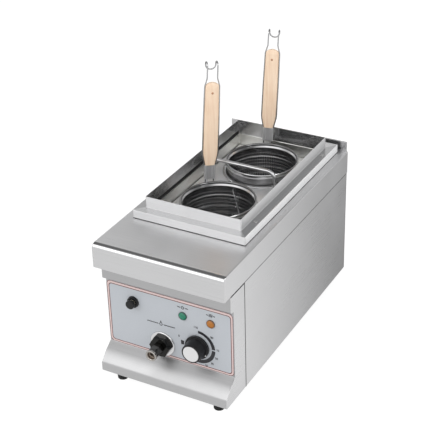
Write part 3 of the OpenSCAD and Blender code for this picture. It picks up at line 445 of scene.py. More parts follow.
def material_of(name, group, values, metallic, bump, **constants):
    """Principled material fed by one shared group: colour, roughness and the height of a bump map."""
    material = bpy.data.materials.new(name)
    material.use_nodes = True
    tree = material.node_tree
    shader = tree.nodes["Principled BSDF"]
    place = node_in(tree, "ShaderNodeTexCoord")
    look = tree.nodes.new("ShaderNodeGroup")
    look.node_tree = group
    link(tree, place.outputs["Object"], look.inputs["Vector"])
    for key, value in values.items():
        look.inputs[key].default_value = value
    link(tree, look.outputs["Color"], shader.inputs["Base Color"])
    link(tree, look.outputs["Roughness"], shader.inputs["Roughness"])
    given = {"Strength": 1.0, "Distance": bump, "Height": look.outputs["Height"]}
    relief = node_in(tree, "ShaderNodeBump", given)
    link(tree, relief.outputs["Normal"], shader.inputs["Normal"])
    shader.inputs["Metallic"].default_value = metallic
    for key, value in constants.items():
        shader.inputs[key].default_value = value
    return material


GRAIN_X = (6, 1500, 1500)
GRAIN_Y = (1500, 6, 1500)
GRAIN_Z = (1500, 1500, 6)
EVEN = (60, 60, 60)
LOOKS = {}


def steel(name, base, stretch, rough, metallic=1.0, tint=(1, 1, 1.01)):
    """Adds a stainless steel, brushed along the axis of least stretch. Even steel is polished finer."""
    values = {"Stretch": stretch, "Base": (*(base * part for part in tint), 1), "Rough": rough}
    bump = 0.000001 if stretch == EVEN else 0.000004
    LOOKS[name.replace(" ", "_")] = material_of(name, BRUSHED, values, metallic, bump)


def smooth(name, base, rough, metallic=0.0, bump=0.000005, **constants):
    """Adds a smooth plastic, rubber, paint or polished metal."""
    values = {"Grain": 2500.0, "Base": (*base, 1), "Rough": rough, "Marks": 0.1}
    LOOKS[name.replace(" ", "_")] = material_of(name, SMOOTH, values, metallic, bump, **constants)


steel("cabinet steel", 0.62, GRAIN_X, 0.32)
steel("nose steel", 0.62, GRAIN_X, 0.15)
steel("side steel", 0.62, GRAIN_Y, 0.30)
steel("inner steel", 0.42, GRAIN_X, 0.30)
steel("tank steel", 0.78, GRAIN_Z, 0.34, tint=(1, 1, 0.96))
steel("bright steel", 0.66, EVEN, 0.15)
steel("basket steel", 0.52, EVEN, 0.22)
steel("folded steel", 0.72, GRAIN_X, 0.42, metallic=0.6)
# Header and panel: darker than the worktop's steel, painted shade under the worktop's overhang
steel("fascia steel", 0.455, GRAIN_X, 0.40)
steel("slope steel", 0.49, GRAIN_X, 0.43)
steel("rim steel", 0.54, EVEN, 0.16)
# Sides of the surround's folded faces: a lighter, less metallic copy of the folded steel, painted light
# falling from the right
steel("fold steel painted light", 0.95, GRAIN_Y, 0.4, metallic=0.1)
steel("ledge end steel", 0.56, GRAIN_X, 0.24)
steel("bar steel", 0.58, EVEN, 0.3)
# Sleeve and the hoop's inside: a darker copy of the rim steel, painted shade under and inside the hoop
steel("sleeve steel", 0.22, EVEN, 0.16)
steel("seam steel", 0.55, EVEN, 0.4, metallic=0.2)
steel("wire steel", 0.47, EVEN, 0.2)
steel("collar steel", 0.62, GRAIN_X, 0.24)
# Sides of the surround's ledge: a darker copy of the ledge ends' steel, painted shade
steel("ledge steel", 0.40, GRAIN_Y, 0.20)
steel("backsplash steel", 0.5, GRAIN_X, 0.2)
steel("plate steel", 0.86, GRAIN_X, 0.42, metallic=0.85)
steel("ferrule steel", 0.69, GRAIN_Z, 0.4, metallic=0.7)
# Lamp rims: darker copies of the lens colours, painted shade at the lens's edge
smooth("green rim", (0.03, 0.09, 0.07), 0.3)
smooth("orange rim", (0.16, 0.08, 0.03), 0.3)
smooth("fixings", (0.5, 0.5, 0.5), 0.28, metallic=1.0)
smooth("dark chrome", (0.028, 0.028, 0.027), 0.1, metallic=1.0)
smooth("spout chrome", (0.12, 0.115, 0.11), 0.12, metallic=1.0)
smooth("ring chrome", (0.38, 0.36, 0.34), 0.12, metallic=1.0)
smooth("bore brown", (0.28, 0.23, 0.19), 0.5, metallic=0.6)
smooth("brass", (0.62, 0.42, 0.2), 0.3, metallic=1.0)
smooth("copper pin", (0.55, 0.3, 0.18), 0.32, metallic=1.0)
smooth("black plastic", (0.006, 0.006, 0.007), 0.28, **{"Specular IOR Level": 0.32})
smooth("dark plastic", (0.03, 0.03, 0.032), 0.5)
smooth("ivory plastic", (0.62, 0.58, 0.48), 0.45)
smooth("overlay", (0.49, 0.515, 0.55), 0.34, bump=0.000002)
smooth("red print", (0.13, 0.022, 0.02), 0.4)
smooth("pink print", (0.72, 0.57, 0.55), 0.4)
smooth("dark print", (0.014, 0.014, 0.018), 0.4)
smooth("white print", (0.85, 0.85, 0.85), 0.4)
smooth("disc", (0.74, 0.74, 0.74), 0.3, metallic=0.6)
smooth("rubber", (0.008, 0.008, 0.008), 0.6, **{"Specular IOR Level": 0.25})
# Near-black strips that paint shade: the contact shadow at the surround's foot, the shadow in the gap between
# collar and tank, the shade in the side seams and the shadow under the worktop's skirt
smooth("dark joint", (0.010, 0.010, 0.010), 0.8)
smooth("green lens", (0.012, 0.2, 0.115), 0.16)
smooth("orange lens", (0.42, 0.145, 0.01), 0.16)
smooth("heater", (0.2, 0.19, 0.18), 0.42, metallic=1.0)
smooth("wire insulation", (0.12, 0.05, 0.03), 0.5)
GRIP_COLOURS = {"Light": (0.95, 0.75, 0.57, 1), "Dark": (0.84, 0.60, 0.42, 1)}
LOOKS["wood"] = material_of("handle wood", WOOD, {**GRIP_COLOURS, "Rough": 0.45}, 0.0, 0.00003)
NODE_LOOKS = {"tank": "tank_steel"}

# Pieces

SLOTS = {part["node"]: part["material_slot"] for part in frame["record"]["subparts"]}


def piece(name, shape, look, body, *nodes, sheet=0.0, sharp=35.0, like=None):
    """Mesh object in the part's frame that rides on a body and stands for CAD nodes. The argument like is not
    used. Doubled points are merged; a sheet is thickened inwards, a solid gets its normals
    outwards; faces that meet at less than the sharp angle are smooth, with normals weighted by area so that
    flat faces stay flat."""
    points, tables = shape
    name = "shown_" + name.replace(" ", "_")
    mesh = bpy.data.meshes.new(name)
    mesh.from_pydata(points.tolist(), [], [face for table in tables for face in table.tolist()])
    work = bmesh.new()
    work.from_mesh(mesh)
    bmesh.ops.remove_doubles(work, verts=work.verts, dist=2e-6)
    bmesh.ops.dissolve_degenerate(work, edges=work.edges, dist=1e-7)
    if not sheet:
        bmesh.ops.recalc_face_normals(work, faces=work.faces)
    work.to_mesh(mesh)
    work.free()
    obj = bpy.data.objects.new(name, mesh)
    bpy.context.scene.collection.objects.link(obj)
    if sheet:
        shell = obj.modifiers.new("sheet", "SOLIDIFY")
        shell.thickness = sheet
        shell.offset = -1
        shell.use_even_offset = True
        graph = bpy.context.evaluated_depsgraph_get()
        obj.data = bpy.data.meshes.new_from_object(obj.evaluated_get(graph), depsgraph=graph)
        obj.modifiers.clear()
    obj.data.shade_smooth()
    obj.data.set_sharp_from_angle(angle=math.radians(sharp))
    weighted = obj.modifiers.new("flat faces", "WEIGHTED_NORMAL")
    weighted.keep_sharp = True
    obj.data.materials.append(LOOKS[look])
    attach(obj, body)
    if nodes:
        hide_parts(*nodes)


# Cabinet


def cover(line, half, edge, hole, steps=5):
    """Folded cover with a round edge along both sides: at the angle a of that edge the line is moved in by
    edge (1 - cos a), and x is half - edge (1 - sin a). Faces inside the hole are left out. The skirt on each
    side is one face between the line and the corner under its end."""
    cos, sin = arc(0, 90, steps)
    x = half - edge * (1 - sin)
    x = np.concatenate([-x[::-1], [hole[0], hole[1]], x])
    inset = edge * (1 - cos)
    inset = np.concatenate([inset[::-1], [0, 0], inset])
    sections = np.stack([beside(line, -d) for d in inset], axis=1)
    points = np.concatenate([np.broadcast_to(x[None, :, None], sections.shape[:2] + (1,)), sections], axis=-1)
    rows, columns = points.shape[:2]
    points = points.reshape(-1, 3)
    faces = quads(rows, columns)
    across, along = points[faces].mean(axis=1)[:, :2].T
    inside = (across > hole[0]) & (across < hole[1]) & (along > hole[2]) & (along < hole[3])
    corner = np.array([[-half, line[-1, 0], line[0, 1]], [half, line[-1, 0], line[0, 1]]])
    left = np.append(np.arange(rows) * columns, len(points))
    right = np.append(np.arange(rows) * columns + columns - 1, len(points) + 1)[::-1]
    return np.concatenate([points, corner]), [faces[~inside], left[None], right[None]]


def worktop():
    """Folded worktop: its flat top and skirts, and as a piece of their own the apron and the round nose,
    which are rolled and shine more."""
    low, high = low_high("worktop")
    inner, outer = low_high("tank_collar")
    nose, side_edge, gap = 0.012, 0.0025, 0.0003
    hole = (inner[0] - gap, outer[0] + gap, inner[1] - gap, outer[1] + gap)
    front = rounded([[low[1], low[2]], [low[1], high[2]], [high[1], high[2]]], nose, 14)
    flat = low[1] + nose + 0.002
    line = np.vstack([front[:-1], [[y, high[2]] for y in (flat, hole[2], hole[3], high[1])]])
    apron, top = parted(cover(line, high[0], side_edge, hole), lambda middle: middle[:, 1] < flat)
    piece("worktop", top, "cabinet_steel", "cooker", "worktop", sheet=SHEET)
    piece("worktop nose", apron, "nose_steel", "cooker", like="worktop", sheet=SHEET)


def backsplash():
    """Upright strip along the rear edge, rounded along its top and drawn out over the width."""
    low, high = low_high("backsplash")
    top_edge = 0.0013
    corners = [[low[1], low[2]], [high[1], low[2]], [high[1], high[2]], [low[1], high[2]]]
    outline = rounded(corners, [0, 0, top_edge, top_edge], 4, closed=True)
    shape = moved(extruded(outline, low[0], high[0], CUT_EDGE), ALONG_X)
    piece("backsplash", shape, "backsplash_steel", "cooker", "backsplash")


def plinth():
    """Raised surround of the tank: its flat ledge, and its folded outer faces, which meet the ledge in a
    quarter circle. Both have ends and sides as pieces of their own; the ledge's sides are painted darker, as
    shade, and the outer faces' sides painted lighter, as light falling from the right. A near-black strip
    along the foot paints the contact shadow."""
    low, high = low_high("tank_surround")
    inner, outer = low_high("tank_collar")
    edge, corner, inner_corner, shade_strip_h = 0.0008, 0.002, 0.0005, 0.0013
    ledge = [level(inner, outer, 0, high[2], inner_corner - corner), level(low, high, -edge, high[2], -edge)]
    ends, sides = parted(flipped(lofted_frame(ledge, corner)),
                         lambda middle: (middle[:, 1] < inner[1]) | (middle[:, 1] > outer[1]))
    piece("tank surround", sides, "ledge_steel", "cooker", "tank_surround", sheet=SHEET)
    piece("surround ledge ends", ends, "ledge_end_steel", "cooker", like="tank_surround", sheet=SHEET)
    outside = [level(low, high, 0, low[2])]
    for c, s in zip(*arc(0, 90, 4)):
        inset = edge * (1 - c)
        outside.append(level(low, high, -inset, high[2] - edge * (1 - s), -inset))
    ends, sides = parted(lofted_frame(outside, corner),
                         lambda middle: (middle[:, 1] < low[1] + corner) | (middle[:, 1] > high[1] - corner))
    piece("surround ends", ends, "folded_steel", "cooker", like="tank_surround", sheet=FOLD_SHEET)
    piece("surround sides", sides, "fold_steel_painted_light", "cooker", like="tank_surround", sheet=FOLD_SHEET)
    shade_strip = [level(low, high, SHADE_STRIP_PROUD, z, SHADE_STRIP_PROUD) for z in (low[2], low[2] + shade_strip_h)]
    piece("surround shade strip", lofted_frame(shade_strip, corner), "dark_joint", "cooker", like="tank_surround")


def collar():
    """Collar round the tank's mouth: outer faces with a round upper edge and a small fillet on the ledge;
    inner faces as a piece of their own; and near-black strips over the tank's long edges that paint the
    shadow in the gap between the collar and the tank."""
    low, high = low_high("tank_collar")
    ledge = low_high("tank_surround")[1][2]
    tank_top = low_high("tank")[1][2]
    wall, lip, foot, corner = 0.0015, 0.0006, 0.0005, 0.0025

    def ring(grow, z):
        """Rectangle of the collar's outside, grown to all sides."""
        return level(low, high, grow, z, grow)

    cos, sin = arc(90, 0, 6)
    outside = [ring(foot, ledge - foot)]
    outside += [ring(foot * (1 - c), ledge + HAIR + foot * (1 - s)) for c, s in zip(cos, sin)]
    outside += [ring(0, high[2] - lip), ring(-lip * 0.3, high[2] - lip * 0.3), ring(-lip, high[2])]
    outside += [ring(-wall + lip, high[2])]
    piece("tank collar", lofted_frame(outside, corner), "folded_steel", "cooker", "tank_collar")
    inside = [ring(-wall + lip, high[2]), ring(-wall + lip * 0.3, high[2] - lip * 0.3)]
    inside += [ring(-wall, high[2] - lip), ring(-wall, low[2])]
    piece("collar inside", lofted_frame(inside, corner), "collar_steel", "cooker", like="tank_collar")
    x = high[0] - wall - SHADE_STRIP_PROUD
    shade_strip = upright(x, low[1] + wall, high[1] - wall, tank_top + 0.0002, ledge - wall)
    piece("tank shade strip", joined(shade_strip, mirrored(shade_strip)), "dark_joint", "cooker", like="tank_collar")


def front_line():
    """Outer line of the front in y and z, from the worktop down to the return under the lip, and the radius
    of each of its bends. The slope under the panel swells a little towards its foot."""
    low, high = low_high("front_fascia")
    lip, panel = low[1], PANEL_Y
    header = lip + HEADER_BACK
    share, swell_y, swell_z = 0.65, -0.0021, 0.0024
    swell = (panel + share * (lip - panel) + swell_y, SLOPE_TOP + share * (SLOPE_FOOT - SLOPE_TOP) + swell_z)
    line = np.array([
        [header, high[2], 0], [header, HEADER_FOOT, 0.004], [panel, PANEL_TOP, 0.001],
        [panel, SLOPE_TOP, 0.0015], [*swell, 0.11], [lip, SLOPE_FOOT, 0.007], [lip, low[2], 0.003],
        [lip + 0.012, low[2], 0],
    ])
    return line[:, :2], line[:, 2]


def fascia():
    """Front sheet: the front line and the same line one sheet further in, drawn out over the width. The slope
    and the lip below the panel are a piece of their own, a little lighter; the header and panel are painted
    darker, as shade under the worktop's overhang."""
    low, high = low_high("front_fascia")
    outer = rounded(*front_line(), 8)
    outline = np.vstack([outer, beside(outer, SHEET)[::-1]])
    shape = moved(extruded(outline, low[0], high[0]), ALONG_X)
    slope, panel = parted(shape, lambda middle: middle[:, 2] < SLOPE_TOP)
    piece("front fascia", panel, "fascia_steel", "cooker", "front_fascia")
    piece("front slope", slope, "slope_steel", "cooker", like="front_fascia")


def cheeks():
    """Flat end pieces of the front, cut along the front line down to its lip."""
    low, high = low_high("right_cheek")
    corners, radii = front_line()
    corners = np.vstack([corners[:-1], [[high[1], low[2]], [high[1], high[2]]]])
    corners[0, 1] = high[2]
    outline = rounded(corners, np.append(radii[:-1], [0, 0]), 8, closed=True)
    right = moved(extruded(outline, low[0], high[0], CUT_EDGE), ALONG_X)
    piece("right cheek", right, "side_steel", "cooker", "right_cheek")
    piece("left cheek", mirrored(right), "side_steel", "cooker", "left_cheek")


def side_panels():
    """Side sheets with a rounded rear edge, and near-black strips that paint the shade in the seam in front
    of them and the shadow under the worktop's skirt."""
    low, high = low_high("right_side_panel")
    rear_edge, half_shade_strip, front_gap, rear_gap = 0.002, 0.0012, 0.005, 0.0032
    line = rounded([[high[0], low[1]], [high[0], high[1]], [low[0], high[1]]], rear_edge, 5)
    outline = np.vstack([line, beside(line, SHEET)[::-1]])
    right = extruded(outline, low[2], high[2])
    piece("right side panel", right, "side_steel", "cooker", "right_side_panel")
    piece("left side panel", mirrored(right), "side_steel", "cooker", "left_side_panel")
    skirt = low_high("worktop")[0][2]
    header = low_high("front_fascia")[0][1] + HEADER_BACK
    x = high[0] + SHADE_STRIP_PROUD
    start, stop = low[1] - half_shade_strip, low[1] + half_shade_strip
    shade_strips = joined(
        upright(x, start, stop, low[2], skirt), upright(x, header, start, skirt - front_gap, skirt),
        upright(x, stop, high[1] - rear_edge, skirt - rear_gap, skirt),
    )
    piece("side shade strips", joined(shade_strips, mirrored(shade_strips)), "dark_joint", "cooker", like="right_side_panel")


def at_corners(shape, node, radius, z):
    """Four copies of a turned shape, set into the corners of a node's box."""
    low, high = low_high(node)
    low, high = low + radius, high - radius
    places = [(x, y, z) for x in (low[0], high[0]) for y in (low[1], high[1])]
    return joined(*(moved(shape, Matrix.Translation(place)) for place in places))


def feet():
    """Turned rubber feet: wider at the top, rounded at both ends and hollow from below."""
    bore, tip, top, height = 0.0055, 0.0115, 0.013, 0.025
    profile = np.vstack([
        [[bore, 0.015], [bore, 0.0], [0.0105, 0.0]], round_edge(tip, 0.001, 0.0105, 0.0)[::-1],
        round_edge(top, 0.0242, 0.0122, height), [[0.0026, height]],
    ])
    shape = at_corners(turned(profile, 48), "feet", top, low_high("feet")[0][2])
    piece("feet", shape, "rubber", "cooker", "feet")


def ledge_screws():
    """Turned screw heads on the ledge, in low domes."""
    r, height = 0.004, 0.002
    profile = np.vstack([[[r, 0.0]], round_edge(r, 0.0006, 0.0012, height, 6), [[0.0, height]]])
    shape = at_corners(turned(profile, 32), "surround_screws", r, low_high("tank_surround")[1][2])
    piece("ledge screws", shape, "fixings", "cooker", "surround_screws")


# Control panel


def middle_on_panel(node):
    """Place on the control panel of a node's middle."""
    low, high = low_high(node)
    return on_panel((low[0] + high[0]) / 2, (low[2] + high[2]) / 2)


def overlay():
    """Printed overlay that fills the panel between the slope and the header, with its two border lines and
    the pale border between them."""
    gap, corner, line_corner, edge = 0.0003, 0.009, 0.0095, 0.0002
    half_w = low_high("front_fascia")[1][0] - gap
    z0, z1 = 0.0803, 0.2322
    half_h = (z1 - z0) / 2
    place = on_panel(0, (z0 + z1) / 2)
    outline = rectangle(-half_w, half_w, -half_h, half_h, corner, 8)
    shape = moved(extruded(outline, 0, OVERLAY_T, edge), place)
    piece("control overlay", shape, "overlay", "cooker", "control_overlay")

    def loop_at(inset, below_top, height):
        """The overlay's edge moved in, at the top by a distance of its own."""
        corners = (-half_w + inset, half_w - inset, -half_h + inset, half_h - below_top)
        return at_height(rectangle(*corners, line_corner - inset / 2, 8), height)

    def border(name, look, start, stop, height):
        """Flat frame between two such edges."""
        shape = stacked([loop_at(*stop, height), loop_at(*start, height)])
        piece(name, moved(shape, place), look, "cooker", like="control_overlay")

    border("pale border", "pink_print", (0.0003, 0.0003), (0.0058, 0.0072), PRINT_Z)
    border("outer border line", "red_print", (0.0004, 0.0004), (0.0015, 0.0015), PRINT_Z + HAIR)
    border("inner border line", "red_print", (0.0047, 0.0061), (0.0063, 0.0077), PRINT_Z + HAIR)


# Strokes of the dial's digits in units, and the turn of each number from the top
STROKES = {
    "0": [[(0, 0), (1, 0), (1, 2), (0, 2), (0, 0)]],
    "1": [[(0.3, 1.6), (0.7, 2), (0.7, 0)]],
    "3": [[(0, 2), (1, 2), (1, 0), (0, 0)], [(0.2, 1), (1, 1)]],
    "5": [[(1, 2), (0, 2), (0, 1), (1, 1), (1, 0), (0, 0)]],
    "7": [[(0, 2), (1, 2), (0.4, 0)]],
    "9": [[(1, 1), (0, 1), (0, 2), (1, 2), (1, 0), (0, 0)]],
}
DIAL_MARKS = {"110": -5.0, "90": 46.0, "70": 85.0, "50": 112.0, "30": 136.0, "10": 157.0, "0": -74.0}


def number(text, x, y, unit):
    """Number written in straight strokes: each digit is two units high and one wide, with 0.7 between."""
    advance = 1.7 * unit
    start = x - (advance * len(text) - 0.7 * unit) / 2
    shapes = []
    for i, digit in enumerate(text):
        for stroke in STROKES[digit]:
            path = np.array(stroke, float) * unit + [start + advance * i, y - unit]
            shapes.append(ribbon(path, 0.5 * unit, PRINT_Z))
    return shapes


def dial_print():
    """Print round the knob: thick arcs that widen along the scale, with its numbers outside them."""
    radius, number_radius, unit = 0.0359, 0.0455, 0.002

    def around(start, stop, from_width, to_width):
        """Arc between two turns from the top, with a width that changes evenly."""
        angle = np.radians(90 - np.linspace(start, stop, 48))
        width = np.linspace(from_width, to_width, 48)[:, None]
        return ribbon(np.column_stack([np.cos(angle), np.sin(angle)]) * radius, width, PRINT_Z)

    shapes = [around(2, 87, 0.006, 0.0082), around(91, 182, 0.0082, 0.0082)]
    shapes += [around(-100, -84, 0.0075, 0.0075)]
    for text, turn in DIAL_MARKS.items():
        angle = math.radians(90 - turn)
        shapes += number(text, number_radius * math.cos(angle), number_radius * math.sin(angle), unit)
    place = middle_on_panel("thermostat_shaft")
    piece("dial print", moved(joined(*shapes), place), "dark_print", "cooker", like="control_overlay")


def panel_signs():
    """Signs above the lamps and the drain: a ring with a bar, three waves and a drop, each between two wavy
    lines."""
    line, size = 0.0017, 0.003

    def between(reach, length):
        """Wavy lines to the left and the right, from their reach outwards."""
        run = np.linspace(reach, reach + length, 24)
        dash = ribbon(np.column_stack([run, 0.0007 * np.sin((run - reach) * 1800)]), line, PRINT_Z)
        return joined(dash, moved(dash, Matrix.Rotation(math.pi, 4, "Z")))

    cos, sin = arc(120, 420, 24)
    ring = ribbon(np.column_stack([cos, sin]) * size, line, PRINT_Z)
    bar = ribbon(np.array([[0, 0.3], [0, 1.4]]) * size, line, PRINT_Z)
    over_lamp = Matrix.Translation((0, 0.0195, 0))
    power = moved(joined(ring, bar, between(0.0055, 0.007)), middle_on_panel("green_lamp") @ over_lamp)
    run = np.linspace(-1, 1, 20)
    waves = [ribbon(np.column_stack([0.27 * np.sin(run * 4) + x, run * 1.2]) * size, line, PRINT_Z)
             for x in (-1, 0, 1)]
    heat = moved(joined(*waves, between(0.0055, 0.0045)), middle_on_panel("orange_lamp") @ over_lamp)
    cos, sin = arc(-230, 50, 24)
    drop = np.vstack([np.column_stack([cos, sin]), [[0, 2.4]]])[::-1] * size
    over_drain = Matrix.Translation((-0.0025, 0.0475, 0))
    water = joined(ribbon(drop, line, PRINT_Z, closed=True), between(0.006, 0.027))
    water = moved(water, middle_on_panel("drain_flange") @ over_drain)
    piece("panel signs", joined(power, heat, water), "dark_print", "cooker", like="control_overlay")


def knob():
    """Turned knob: a skirt, a grip that narrows from its foot to its face, and a disc let into the face. The
    pointer is a wedge on the skirt."""
    place = middle_on_panel("thermostat_shaft")
    back = 0.0014
    step, face = back + 0.006, back + 0.03
    skirt_r, foot_r, grip_r, disc_r, pointer_turn = 0.027, 0.0232, 0.0209, 0.0177, 122
    profile = np.vstack([
        [[0.004, back], [0.0262, back]], round_edge(skirt_r, step - 0.0008, 0.0262, step),
        round_edge(foot_r, step + 0.0012, 0.0244, step, 4)[::-1],
        round_edge(grip_r, face - 0.0012, 0.0197, face, 5),
        [[0.018, face], [disc_r, face - 0.0008], [0.0, face - 0.0008]],
    ])
    piece("knob", moved(turned(profile, 96), place), "black_plastic", "knob", "thermostat_knob")
    disc = np.vstack([
        [[disc_r, face - 0.0012]], round_edge(disc_r, face - 0.0004, 0.0171, face, 3), [[0, face]],
    ])
    piece("knob disc", moved(turned(disc, 96), place), "disc", "knob", "knob_disc")
    turn = math.radians(90 - pointer_turn)
    along = np.array([math.cos(turn), math.sin(turn)])
    across = np.array([-along[1], along[0]])
    wedge = [along * 0.0236 - across * 0.0021, along * 0.0266, along * 0.0236 + across * 0.0021]
    shape = extruded(np.array(wedge), step, step + 0.0004)
    piece("knob pointer", moved(shape, place), "white_print", "knob", like="thermostat_knob")


def reset():
    """Turned bezel with a recess, and in it the turned button: a stem, a neck and a wide cap."""
    place = middle_on_panel("reset_bezel")
    face, neck_foot, top = OVERLAY_T + 0.0057, OVERLAY_T + 0.006, OVERLAY_T + 0.016
    bezel_r, neck_r, cap_r, stem_r = 0.0126, 0.0066, 0.0097, 0.003
    bezel = np.vstack([
        [[0.0069, face - 0.003], [0.0069, face - 0.0012], [0.0099, face - 0.0012], [0.0104, face]],
        round_edge(bezel_r, face - 0.0014, 0.0112, face)[::-1], [[0.0132, OVERLAY_T]],
    ])
    piece("reset bezel", moved(turned(bezel, 64), place), "black_plastic", "cooker", "reset_bezel")
    button = np.vstack([
        [[0.0, neck_foot], [neck_r, neck_foot], [neck_r, top - 0.0062]],
        round_edge(cap_r, top - 0.0054, 0.0089, top - 0.0062, 3)[::-1],
        round_edge(cap_r, top - 0.0012, 0.0085, top, 6), [[0.0, top]],
    ])
    stem = np.array([[stem_r, OVERLAY_T - 0.004], [stem_r, neck_foot]])
    shape = joined(turned(button, 64), turned(stem, 32))
    piece("reset button", moved(shape, place), "black_plastic", "reset_button", "reset_button")


def lamps():
    """Turned lamps: a lens whose height falls with the square of the radius, in a low rim painted a darker
    copy of the lens colour, as the shade at the lens's edge.
    """
    lens_r, rim_r, rim_top = 0.0082, 0.0094, OVERLAY_T + 0.0026
    reach = np.linspace(1, 0, 9)
    dome = np.column_stack([lens_r * reach, OVERLAY_T + 0.0064 - 0.004 * reach ** 2])
    lens = turned(np.vstack([[[lens_r, OVERLAY_T]], dome]), 48)
    rim = turned(np.vstack([
        [[lens_r, OVERLAY_T + 0.001], [0.0083, rim_top]],
        round_edge(rim_r, rim_top - 0.0008, 0.0088, rim_top, 4)[::-1], [[rim_r, OVERLAY_T]],
    ]), 48)
    for colour in ("green", "orange"):
        place = middle_on_panel(colour + "_lamp")
        piece(colour + " lamp", moved(lens, place), colour + "_lens", "cooker", colour + "_lamp")
        # The rim's darker copy of the lens colour paints the shade at the lens's edge
        piece(colour + " lamp rim", moved(rim, place), colour + "_rim", "cooker", like=colour + "_lamp")


def drain():
    """Drain on the panel: a turned flange, a six-sided nut, and a six-sided spout with a bright end ring and
    a brown bore."""
    place = middle_on_panel("drain_flange")
    flange_r, flange_top = 0.029, OVERLAY_T + 0.004
    nut_top = flange_top + 0.013
    start, end = nut_top + 0.0003, 0.05
    nut_across, spout_across, ring_r, spigot_r, bore_r = 0.042, 0.022, 0.0126, 0.009, 0.0065
    flange = np.vstack([
        [[flange_r, OVERLAY_T]], round_edge(flange_r, flange_top - 0.0024, 0.0266, flange_top, 5),
        [[0.0135, flange_top]],
    ])
    piece("drain flange", moved(turned(flange, 96), place), "bright_steel", "cooker", "drain_flange")
    nut = hexed(nut_across, [
        (flange_top, 0.0225), (flange_top + 0.001, 0.0243), (nut_top - 0.0016, 0.0243), (nut_top, 0.0212),
        (nut_top, 0.0133), (nut_top - 0.0004, 0.0131), (nut_top - 0.0004, 0.0091),
    ])
    piece("drain nut", moved(nut, place), "dark_chrome", "cooker", "drain_nut")
    bar = hexed(spout_across, [
        (start, spigot_r), (start, 0.0112), (start + 0.0008, 0.0128), (end - 0.0056, 0.0128),
        (end - 0.005, 0.0118),
    ])
    spigot = turned([[spigot_r, start - 0.04], [spigot_r, start]], 48)
    piece("drain spout", moved(joined(bar, spigot), place), "spout_chrome", "drain_spout", "drain_spout")
    ring = np.vstack([
        [[0.0105, end - 0.005]], round_edge(ring_r, end - 0.0044, 0.012, end - 0.005, 3)[::-1],
        round_edge(ring_r, end - 0.0016, 0.011, end, 4), [[0.0094, end], [0.0085, end - 0.001]],
    ])
    piece("drain spout end", moved(turned(ring, 64), place), "ring_chrome", "drain_spout", like="drain_spout")
    bore = [[0.0085, end - 0.001], [0.0082, end - 0.007], [bore_r, end - 0.008], [bore_r, start - 0.03],
            [0, start - 0.03]]
    piece("drain spout bore", moved(turned(bore, 48), place), "bore_brown", "drain_spout", like="drain_spout")


# Plate and baskets


def basket_places():
    """Name of each basket with the y of its middle."""
    boxes = [(name, low_high(name + "_basket_rim")) for name in BASKETS]
    return [(name, (low[1] + high[1]) / 2) for name, (low, high) in boxes]


def wall_radius(name):
    """Outer radius of a basket's wall."""
    low, high = low_high(name + "_basket_wall")
    return (high[0] - low[0]) / 2


def plate():
    """Plate with two round holes: the flat part round each hole is spanned between the hole's circle and the
    half plate's edge, both cut by the same rays; the plate's edge is turned down in a quarter circle."""
    low, high = low_high("basket_plate")
    edge, hole_t = 0.002, 0.0015
    hole = wall_radius("front") + 0.003
    x0, x1 = low[0] + edge, high[0] - edge
    y_between = (low[1] + high[1]) / 2
    halves = ((low[1] + edge, y_between), (y_between, high[1] - edge))
    share = np.linspace(0, 1, 24, endpoint=False)[:, None]
    shapes = []
    for (_, y), (y0, y1) in zip(basket_places(), halves):
        corners = np.array([[x1, y0], [x1, y1], [x0, y1], [x0, y0]])
        loop = np.concatenate([a + (b - a) * share for a, b in zip(corners, np.roll(corners, -1, axis=0))])
        out = loop - [0, y]
        circle = [0, y] + out / np.linalg.norm(out, axis=1, keepdims=True) * hole
        rows = [at_height(circle, high[2] - hole_t), at_height(circle, high[2]), at_height(loop, high[2])]
        shapes.append(stacked(rows))
    cos, sin = arc(0, 90, 5)
    levels = [level(low, high, -edge * (1 - s), high[2] - edge * (1 - c)) for c, s in zip(cos, sin)]
    levels += [level(low, high, 0, low[2])]
    shapes.append(lofted_frame(levels, 1e-5, 1))
    piece("basket plate", joined(*shapes), "plate_steel", "basket_plate", "basket_plate")


def lift_bar():
    """Round bar, bent down at both ends."""
    low, high = low_high("lift_bar")
    r = (high[1] - low[1]) / 2
    bend = 0.017
    y = (low[1] + high[1]) / 2
    x, top = high[0] - r, high[2] - r
    path = rounded([[-x, y, low[2]], [-x, y, top], [x, y, top], [x, y, low[2]]], bend, 12)
    piece("lift bar", tube(path, r, 24), "bar_steel", "basket_plate", "lift_bar")


def hole_cells(rows, columns):
    """Sheet of square cells, each with an eight-sided hole, over the unit square: points (u, v), and faces
    between the eight points on a cell's edge and the eight on its hole."""
    edge = np.array([[0, 0], [0.5, 0], [1, 0], [1, 0.5], [1, 1], [0.5, 1], [0, 1], [0, 0.5]])
    angle = np.radians(225 + 45 * np.arange(8))
    hole = 0.5 + HOLE * np.column_stack([np.cos(angle), np.sin(angle)])
    v, u = np.divmod(np.arange(rows * columns), columns)
    origin = np.column_stack([u, v])[:, None, :]
    points = np.concatenate([origin + edge, origin + hole], axis=1) / [columns, rows]
    i = np.arange(8)
    ring = np.column_stack([i, (i + 1) % 8, (i + 1) % 8 + 8, i + 8])
    start = 16 * np.arange(rows * columns)
    return points.reshape(-1, 2), (start[:, None, None] + ring).reshape(-1, 4)


